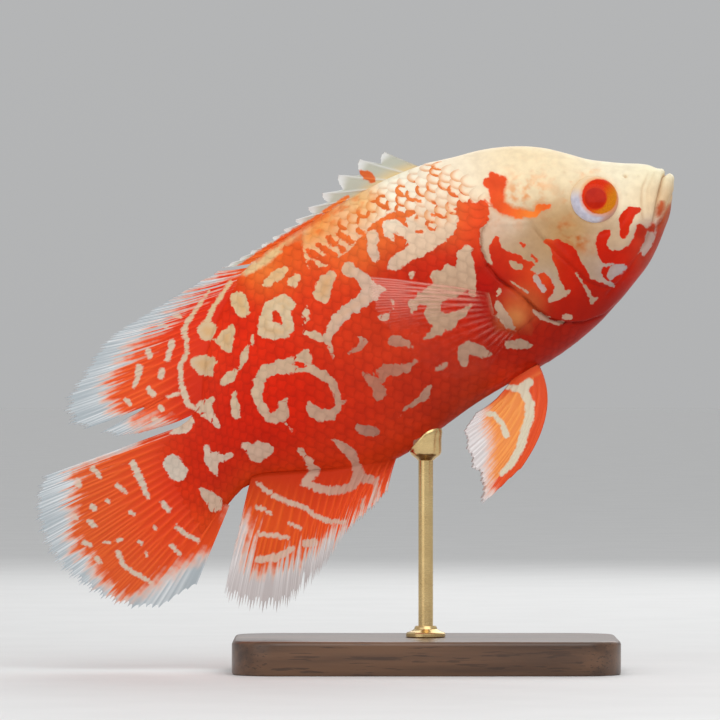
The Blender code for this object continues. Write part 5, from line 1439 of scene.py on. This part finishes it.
# %% Paired fins
def paired(side, name):
    """Breast fin, clear with pale rays, and belly fin, with a red front, cream band and clear rear."""
    turn = np.array([1.0, 1.0, side])

    def breast_root(u):
        at = along(PECTORAL_ROOTS, u)
        return np.concatenate([at, (half_at(at[:, 0], at[:, 1]) - 1.0)[:, None]], axis=1) * turn

    def breast_tip(u):
        return along(PECTORAL_TIPS, u) * turn

    u, phase, t, grid = fin_grid(
        PECTORAL_RAYS, breast_root, lambda x: bent(breast_root(x), breast_tip(x), 0.45, 0.03), breast_tip,
        notch=0.02, fray=0.02,
    )
    ridge = ray_ridge(phase[:, None], t[None, :], ray_spacing(grid))
    ridge *= rise(t, 0.06, 0.3)
    s, h = grid[..., 0], grid[..., 1]
    out = t[None, :] + 0 * s
    pinkish = between([0.80, 0.24, 0.18], [0.80, 0.42, 0.38], out[..., None])
    red = between(pinkish, [0.66, 0.36, 0.22], rise(-out, -0.2, -0.04)[..., None])
    fin_sheet(
        f"breast_fin_{name}", grid, ridge, 0.3, 0.8, 1.4,
        {
            "mark": 0 * s - 3, "ray": ridge, "rim": 0 * s - 12, "cover": 0.8 * rise(-out, -0.12, -0.02),
            "ray_cover": 0.012 + 0.3 * rise(-u[:, None], -0.45, -0.05) + 0.14 * rise(-out, -0.5, -0.1),
        },
        {"red_tone": red, "pale_tone": red}, fin_clear, "fin_membrane", f"pectoral_fin_{name}",
    )
    u, phase, t, grid = fin_grid(
        PELVIC_RAYS, lambda x: along(PELVIC_ROOTS, x) * turn, lambda x: along(PELVIC_BENDS, x) * turn,
        lambda x: along(PELVIC_TIPS, x) * turn, steps=BELLY_STEPS, notch=0.025, fray=0.02,
    )
    ridge = ray_ridge(phase[:, None], t[None, :], ray_spacing(grid, BELLY_STEPS))
    ridge *= rise(t, 0.05, 0.35)
    s, h = grid[..., 0], grid[..., 1]
    mark = strokes(s, h, FIN_CREAM.values())
    far, behind, _ = from_path(s, h, FIN_CREAM["belly band"])
    orange = (rise(far * behind, -0.5, 0.5) * rise(-h, 29.5, 33))[..., None]
    red = between([0.74, 0.08, 0.02], [0.84, 0.27, 0.07], orange)
    fibre = np.random.default_rng(7).uniform(-0.3, 0.3, (len(u), 1)) * rise(t, 0.2, 0.6)
    rim = s - 1.0 - np.interp(-h, (28, 31, 36, 44, 49, 56), (95, 96.3, 100.3, 102.2, 106.8, 111)) + 6 * fibre
    ray = np.clip(0.2 + 0.6 * ridge + fibre, 0, 1)
    fin_sheet(
        f"belly_fin_{name}", grid, ridge, 0.35, 0.7, 1.8, {"mark": mark, "ray": ray, "rim": rim},
        {"red_tone": red, "pale_tone": 0 * red + np.array([0.70, 0.62, 0.46])}, fin_rosy, "fin_membrane",
        f"pelvic_fin_{name}",
    )


paired(-1.0, "right")
paired(1.0, "left")

# %% [markdown]
# ## Eyes
#
# The eye of this fish is a low dome. Its middle is a deep red pupil in an orange iris that turns yellow
# below, both set forward of the centre, and round them the white of the eye shows bluish. No lid covers
# it. The dome is one closed surface; a strong clear coat gives it the wet shine.

# %% Eye finish
IRIS, IRIS_SIZE = (24.2, 10.7), 6.3
PUPIL, PUPIL_SIZE = (25.8, 11.0), 3.75


def eye_finish():
    """White, iris and pupil parted by distances in mm, with fine streaks in the iris and painted shade on the
    white's lower edge.
    """
    finish, tree, shader = new_finish("wet_eye")
    iris = maths(tree, "MULTIPLY_ADD", noise(tree, 1.2, 2.0), 0.5, attribute(tree, "iris"))
    pupil = maths(tree, "MULTIPLY_ADD", noise(tree, 1.0, 2.0), 0.25, attribute(tree, "pupil"))
    cloud = ramp(tree, noise(tree, 2.2, 4.0), -0.25, 0.25)
    white = blend_colours(tree, cloud, (0.50, 0.48, 0.58, 1), (0.68, 0.65, 0.73, 1))
    white = blend_colours(tree, attribute(tree, "warm"), white, (0.86, 0.64, 0.40, 1))
    # Painted shade: the lower edge of the white turns warm brown.
    white = blend_colours(tree, attribute(tree, "low"), white, (0.58, 0.27, 0.17, 1))
    glow = blend_colours(tree, attribute(tree, "yellow"), (0.75, 0.030, 0.001, 1), (0.70, 0.235, 0.005, 1))
    streak = ramp(tree, noise(tree, 0.5, 2.0), -0.3, 0.3)
    deeper = blend_colours(tree, 1.0, glow, (0.84, 0.72, 0.7, 1), "MULTIPLY")
    glow = blend_colours(tree, streak, glow, deeper)
    depth = ramp(tree, noise(tree, 3.0, 2.0), -0.2, 0.3)
    core = blend_colours(tree, depth, (0.46, 0.012, 0.001, 1), (0.56, 0.020, 0.002, 1))
    fringe = blend_colours(tree, 0.55, white, (0.86, 0.26, 0.05, 1))
    colour = blend_colours(tree, ramp(tree, iris, -1.5, 0.0), white, fringe)
    colour = blend_colours(tree, ramp(tree, iris, -0.2, 0.35), colour, glow)
    colour = blend_colours(tree, ramp(tree, pupil, -0.75, 0.0), colour, (0.60, 0.030, 0.003, 1))
    colour = blend_colours(tree, ramp(tree, pupil, -0.1, 0.3), colour, core)
    tree.links.new(colour, shader.inputs["Base Color"])
    shader.inputs["Roughness"].default_value = 0.4
    shader.inputs["Coat Weight"].default_value = 0.12
    shader.inputs["Coat Roughness"].default_value = 0.04
    shader.inputs["Specular IOR Level"].default_value = 0.05
    return finish


eye_wet = eye_finish()


# %% Eyeballs
def skin_frame(s, h, side):
    """World place on the smooth body with unit directions outwards, backwards and up."""
    def at(a, b):
        return place(a, b, side * half_at(np.float64(a), np.float64(b)))

    back = at(s + 0.5, h) - at(s - 0.5, h)
    up = at(s, h + 0.5) - at(s, h - 0.5)
    out = np.cross(back, up)
    out *= side * np.sign(out[1]) / np.linalg.norm(out)
    back -= out * back.dot(out)
    back /= np.linalg.norm(back)
    up = np.cross(out, back)
    up *= np.sign(up[2])
    return at(s, h), out, back, up


def level(points):
    """Station and height of world points, the reverse of place in the side view."""
    x, z = SNOUT_X - points[:, 0] / MM, SNOUT_Z - points[:, 2] / MM
    return x * math.cos(PITCH) + z * math.sin(PITCH), x * math.sin(PITCH) - z * math.cos(PITCH)


def eyeball(side, name):
    """A flattened ball: rings run from its front pole to its rear pole about the outward direction."""
    point, out, back, up = skin_frame(EYE[0], EYE[1], side)
    tilt = np.linspace(0, math.pi, 73)[1:-1, None]
    turn = np.linspace(0, 2 * math.pi, 97)[None, :-1]
    a = (EYE_RADIUS * np.sin(tilt) * np.cos(turn)).ravel()
    b = (EYE_RADIUS * np.sin(tilt) * np.sin(turn)).ravel()
    c = (EYE_BULGE * np.cos(tilt) + 0 * turn).ravel()
    a, b, c = (np.concatenate([v, [0, 0]]) for v in (a, b, c))
    c[-2:] = EYE_BULGE, -EYE_BULGE
    centre = point - out * EYE_SINK * MM
    points = centre + MM * (a[:, None] * back + b[:, None] * up + c[:, None] * out)
    faces = closed_faces(tilt.size, turn.size)
    s, h = level(points)
    iris = IRIS_SIZE - np.hypot(s - IRIS[0], h - IRIS[1])
    pupil = PUPIL_SIZE - np.hypot(s - PUPIL[0], h - PUPIL[1])
    iris, pupil = (np.where(c > 0, v, -3.0) for v in (iris, pupil))
    forward, above = EYE[0] - s, h - EYE[1]
    floats = {
        "iris": iris, "pupil": pupil, "yellow": rise(0.45 * forward - above, -0.8, 6.2),
        # low is the share of painted shade on the lower edge of the white.
        "low": 0.85 * rise(0.45 * forward - above, 5.2, 8.0),
        "warm": rise(0.6 * forward + 0.85 * above, -1.0, 4.5),
    }
    piece = mesh_piece(f"eyeball_{name}", points, faces, floats)
    face_out(piece)
    dress(piece, eye_wet, "eye", f"eye_{name}")


eyeball(-1.0, "right")
eyeball(1.0, "left")

# %% [markdown]
# ## Stand
#
# The stand is as plain as museums make them: a dark wooden plinth with rounded corners and a softened
# top edge, and a brass rod in a turned collar that ends in a small cup under the belly. All are
# surfaces of a profile carried round a path, because that gives even, true curves.

# %% Wood and brass
ALONG_GRAIN, ROUND_ROD = (0.06, 1.0, 1.0), (0.05, 0.05, 1.0)


def drawn_noise(tree, shares, scale, detail):
    """Noise from 0 to 1 that is drawn out along each axis whose share of the scale is below 1."""
    where = node(tree, "ShaderNodeTexCoord").outputs["Object"]
    drawn = node(tree, "ShaderNodeMapping", (("Vector", where), ("Scale", shares))).outputs[0]
    made = node(tree, "ShaderNodeTexNoise", (("Vector", drawn), ("Scale", scale), ("Detail", detail)))
    return made.outputs["Fac"]


def wood_finish():
    """Long grain from noise stretched along the plinth, darker pores, satin varnish."""
    finish, tree, shader = new_finish("dark_wood_finish")
    fine = drawn_noise(tree, ALONG_GRAIN, 1500.0, 3.0)
    figure = ramp(tree, drawn_noise(tree, ALONG_GRAIN, 160.0, 6.0), 0.32, 0.68)
    colour = blend_colours(tree, figure, (0.060, 0.026, 0.012, 1), (0.15, 0.070, 0.032, 1))
    pores = ramp(tree, fine, 0.42, 0.36)
    colour = blend_colours(tree, maths(tree, "MULTIPLY", pores, 0.6), colour, (0.03, 0.013, 0.007, 1))
    tree.links.new(colour, shader.inputs["Base Color"])
    rough = maths(tree, "MULTIPLY_ADD", fine, 0.2, 0.28)
    tree.links.new(rough, shader.inputs["Roughness"])
    shader.inputs["Coat Weight"].default_value = 0.3
    shader.inputs["Coat Roughness"].default_value = 0.2
    bumps(tree, shader, fine, 0.12, 0.08)
    return finish


def brass_finish():
    """Brushed brass: fine turned lines round the rod and a slight warm tarnish."""
    finish, tree, shader = new_finish("brass_finish")
    lines = drawn_noise(tree, ROUND_ROD, 2500.0, 2.0)
    tarnish = ramp(tree, noise(tree, 9.0, 4.0), -0.2, 0.3)
    colour = blend_colours(tree, tarnish, (0.78, 0.57, 0.27, 1), (0.62, 0.43, 0.19, 1))
    tree.links.new(colour, shader.inputs["Base Color"])
    shader.inputs["Metallic"].default_value = 1.0
    rough = maths(tree, "MULTIPLY_ADD", lines, 0.22, 0.14)
    tree.links.new(rough, shader.inputs["Roughness"])
    bumps(tree, shader, lines, 0.08, 0.03)
    return finish


# %% Plinth and turned parts
BASE_LENGTH, BASE_WIDTH, BASE_HEIGHT, BASE_CORNER, BASE_EDGE = 136.0, 86.0, 12.0, 16.0, 1.6
ROD_RADIUS, COLLAR_RADIUS, COLLAR_HEIGHT = 2.6, 7.0, 4.0
SADDLE_RADIUS, SADDLE_DEPTH, CUP_FOOT = 5.6, 3.4, 3.0


def stand_piece(name, rings, low, high, sharp, finish, slot, node_name):
    """A part of the stand from stacked rings in mm, closed at heights low and high on its own axis.
    Edges that turn by more than sharp degrees stay crisp."""
    points = np.concatenate([rings.reshape(-1, 3), [[0, 0, low], [0, 0, high]]])
    piece = mesh_piece(name, points * MM, closed_faces(*rings.shape[:2]))
    face_out(piece)
    piece.data.set_sharp_from_angle(angle=math.radians(sharp))
    dress(piece, finish, slot, node_name)


def plinth():
    """A rounded rectangle carried up a profile whose top edge is a quarter round."""
    quarter = np.linspace(0, math.pi / 2, 17)
    turn = np.concatenate([quarter + k * math.pi / 2 for k in range(4)])
    corner = np.repeat(np.array([[1, 1], [-1, 1], [-1, -1], [1, -1]]), quarter.size, axis=0)
    centre = corner * np.array([BASE_LENGTH / 2 - BASE_CORNER, BASE_WIDTH / 2 - BASE_CORNER])
    a = np.linspace(0, math.pi / 2, 9)
    inset = np.concatenate([[6.0, 0.5, 0.0, 0.0], BASE_EDGE * (1 - np.cos(a)), [BASE_EDGE + 1.0, 12.0]])
    edge = BASE_HEIGHT - BASE_EDGE * (1 - np.sin(a))
    heights = np.concatenate([[0.0, 0.0, 0.5, 8.0], edge, [BASE_HEIGHT] * 2])
    out = (BASE_CORNER - inset)[:, None, None] * np.stack([np.cos(turn), np.sin(turn)], axis=-1)[None]
    up = np.broadcast_to(heights[:, None, None], out.shape[:2] + (1,))
    rings = np.concatenate([centre[None] + out, up], axis=-1)
    stand_piece("plinth", rings, 0, BASE_HEIGHT, 50, wood_finish(), "dark_wood", "stand_base")


def turned_part(name, node_name, profile, finish):
    """A profile of (radius, height) places spun about the rod's axis."""
    turn = np.linspace(0, 2 * math.pi, 65)[:-1]
    radius, up = np.array(profile, float).T
    rings = np.stack([
        radius[:, None] * np.cos(turn), radius[:, None] * np.sin(turn), up[:, None] + 0 * turn,
    ], axis=-1)
    stand_piece(name, rings, up[0], up[-1], 35, finish, "brass", node_name)


plinth()
brass = brass_finish()
belly_s = np.linspace(110, 130, 400)
belly_at = place(belly_s, through(BELLY, belly_s), 0.0) / MM
belly_z = float(np.interp(0.0, belly_at[::-1, 0], belly_at[::-1, 2]))
foot = BASE_HEIGHT + 0.05
cup = belly_z - SADDLE_DEPTH - SADDLE_RADIUS * math.tan(PITCH)
turned_part("collar", "stand_collar", (
    (COLLAR_RADIUS - 0.3, foot), (COLLAR_RADIUS, foot + 0.3), (COLLAR_RADIUS, foot + 1.3),
    (COLLAR_RADIUS - 0.3, foot + 1.7), (COLLAR_RADIUS - 1.2, foot + 2.0), (4.9, foot + 2.4), (4.1, foot + 2.9),
    (3.9, foot + 3.6), (3.6, foot + COLLAR_HEIGHT), (ROD_RADIUS, foot + COLLAR_HEIGHT + 0.1),
), brass)
turned_part("rod", "stand_rod", ((ROD_RADIUS, foot), (ROD_RADIUS, cup + 1.0)), brass)


def cup_part(finish):
    """The cup under the belly: its wall ends a little inside the skin all the way round."""
    turn = np.linspace(0, 2 * math.pi, 65)[:-1]
    x, y = SADDLE_RADIUS * np.cos(turn), SADDLE_RADIUS * np.sin(turn)
    s = np.interp(x, belly_at[::-1, 0], belly_s[::-1])
    _, bottom, half, widest, power = section(s)
    up = (widest - bottom) * (1 - (1 - np.abs(y / half) ** power) ** (1 / power))
    touch = np.interp(x, belly_at[::-1, 0], belly_at[::-1, 2]) + up / math.cos(PITCH)
    rings = []
    foot_profile = (
        (ROD_RADIUS, 0.0), (3.0, 0.2), (3.5, 0.8), (4.4, 1.4), (5.2, 2.1), (SADDLE_RADIUS, CUP_FOOT),
    )
    for radius, above in foot_profile:
        rings.append(np.stack([x, y, 0 * x], axis=-1) * radius / SADDLE_RADIUS + [0, 0, cup + above])
    for share, radius in ((0.55, SADDLE_RADIUS), (0.72, 5.75), (0.86, 5.9), (1.0, 5.75), (1.15, 5.2)):
        wall = cup + CUP_FOOT + share * (touch + 0.1 - cup - CUP_FOOT)
        rings.append(np.stack([x * radius / SADDLE_RADIUS, y * radius / SADDLE_RADIUS, wall], axis=-1))
    stand_piece("cup", np.array(rings), cup, belly_z + 1.0, 35, finish, "brass", "stand_saddle")


cup_part(brass)
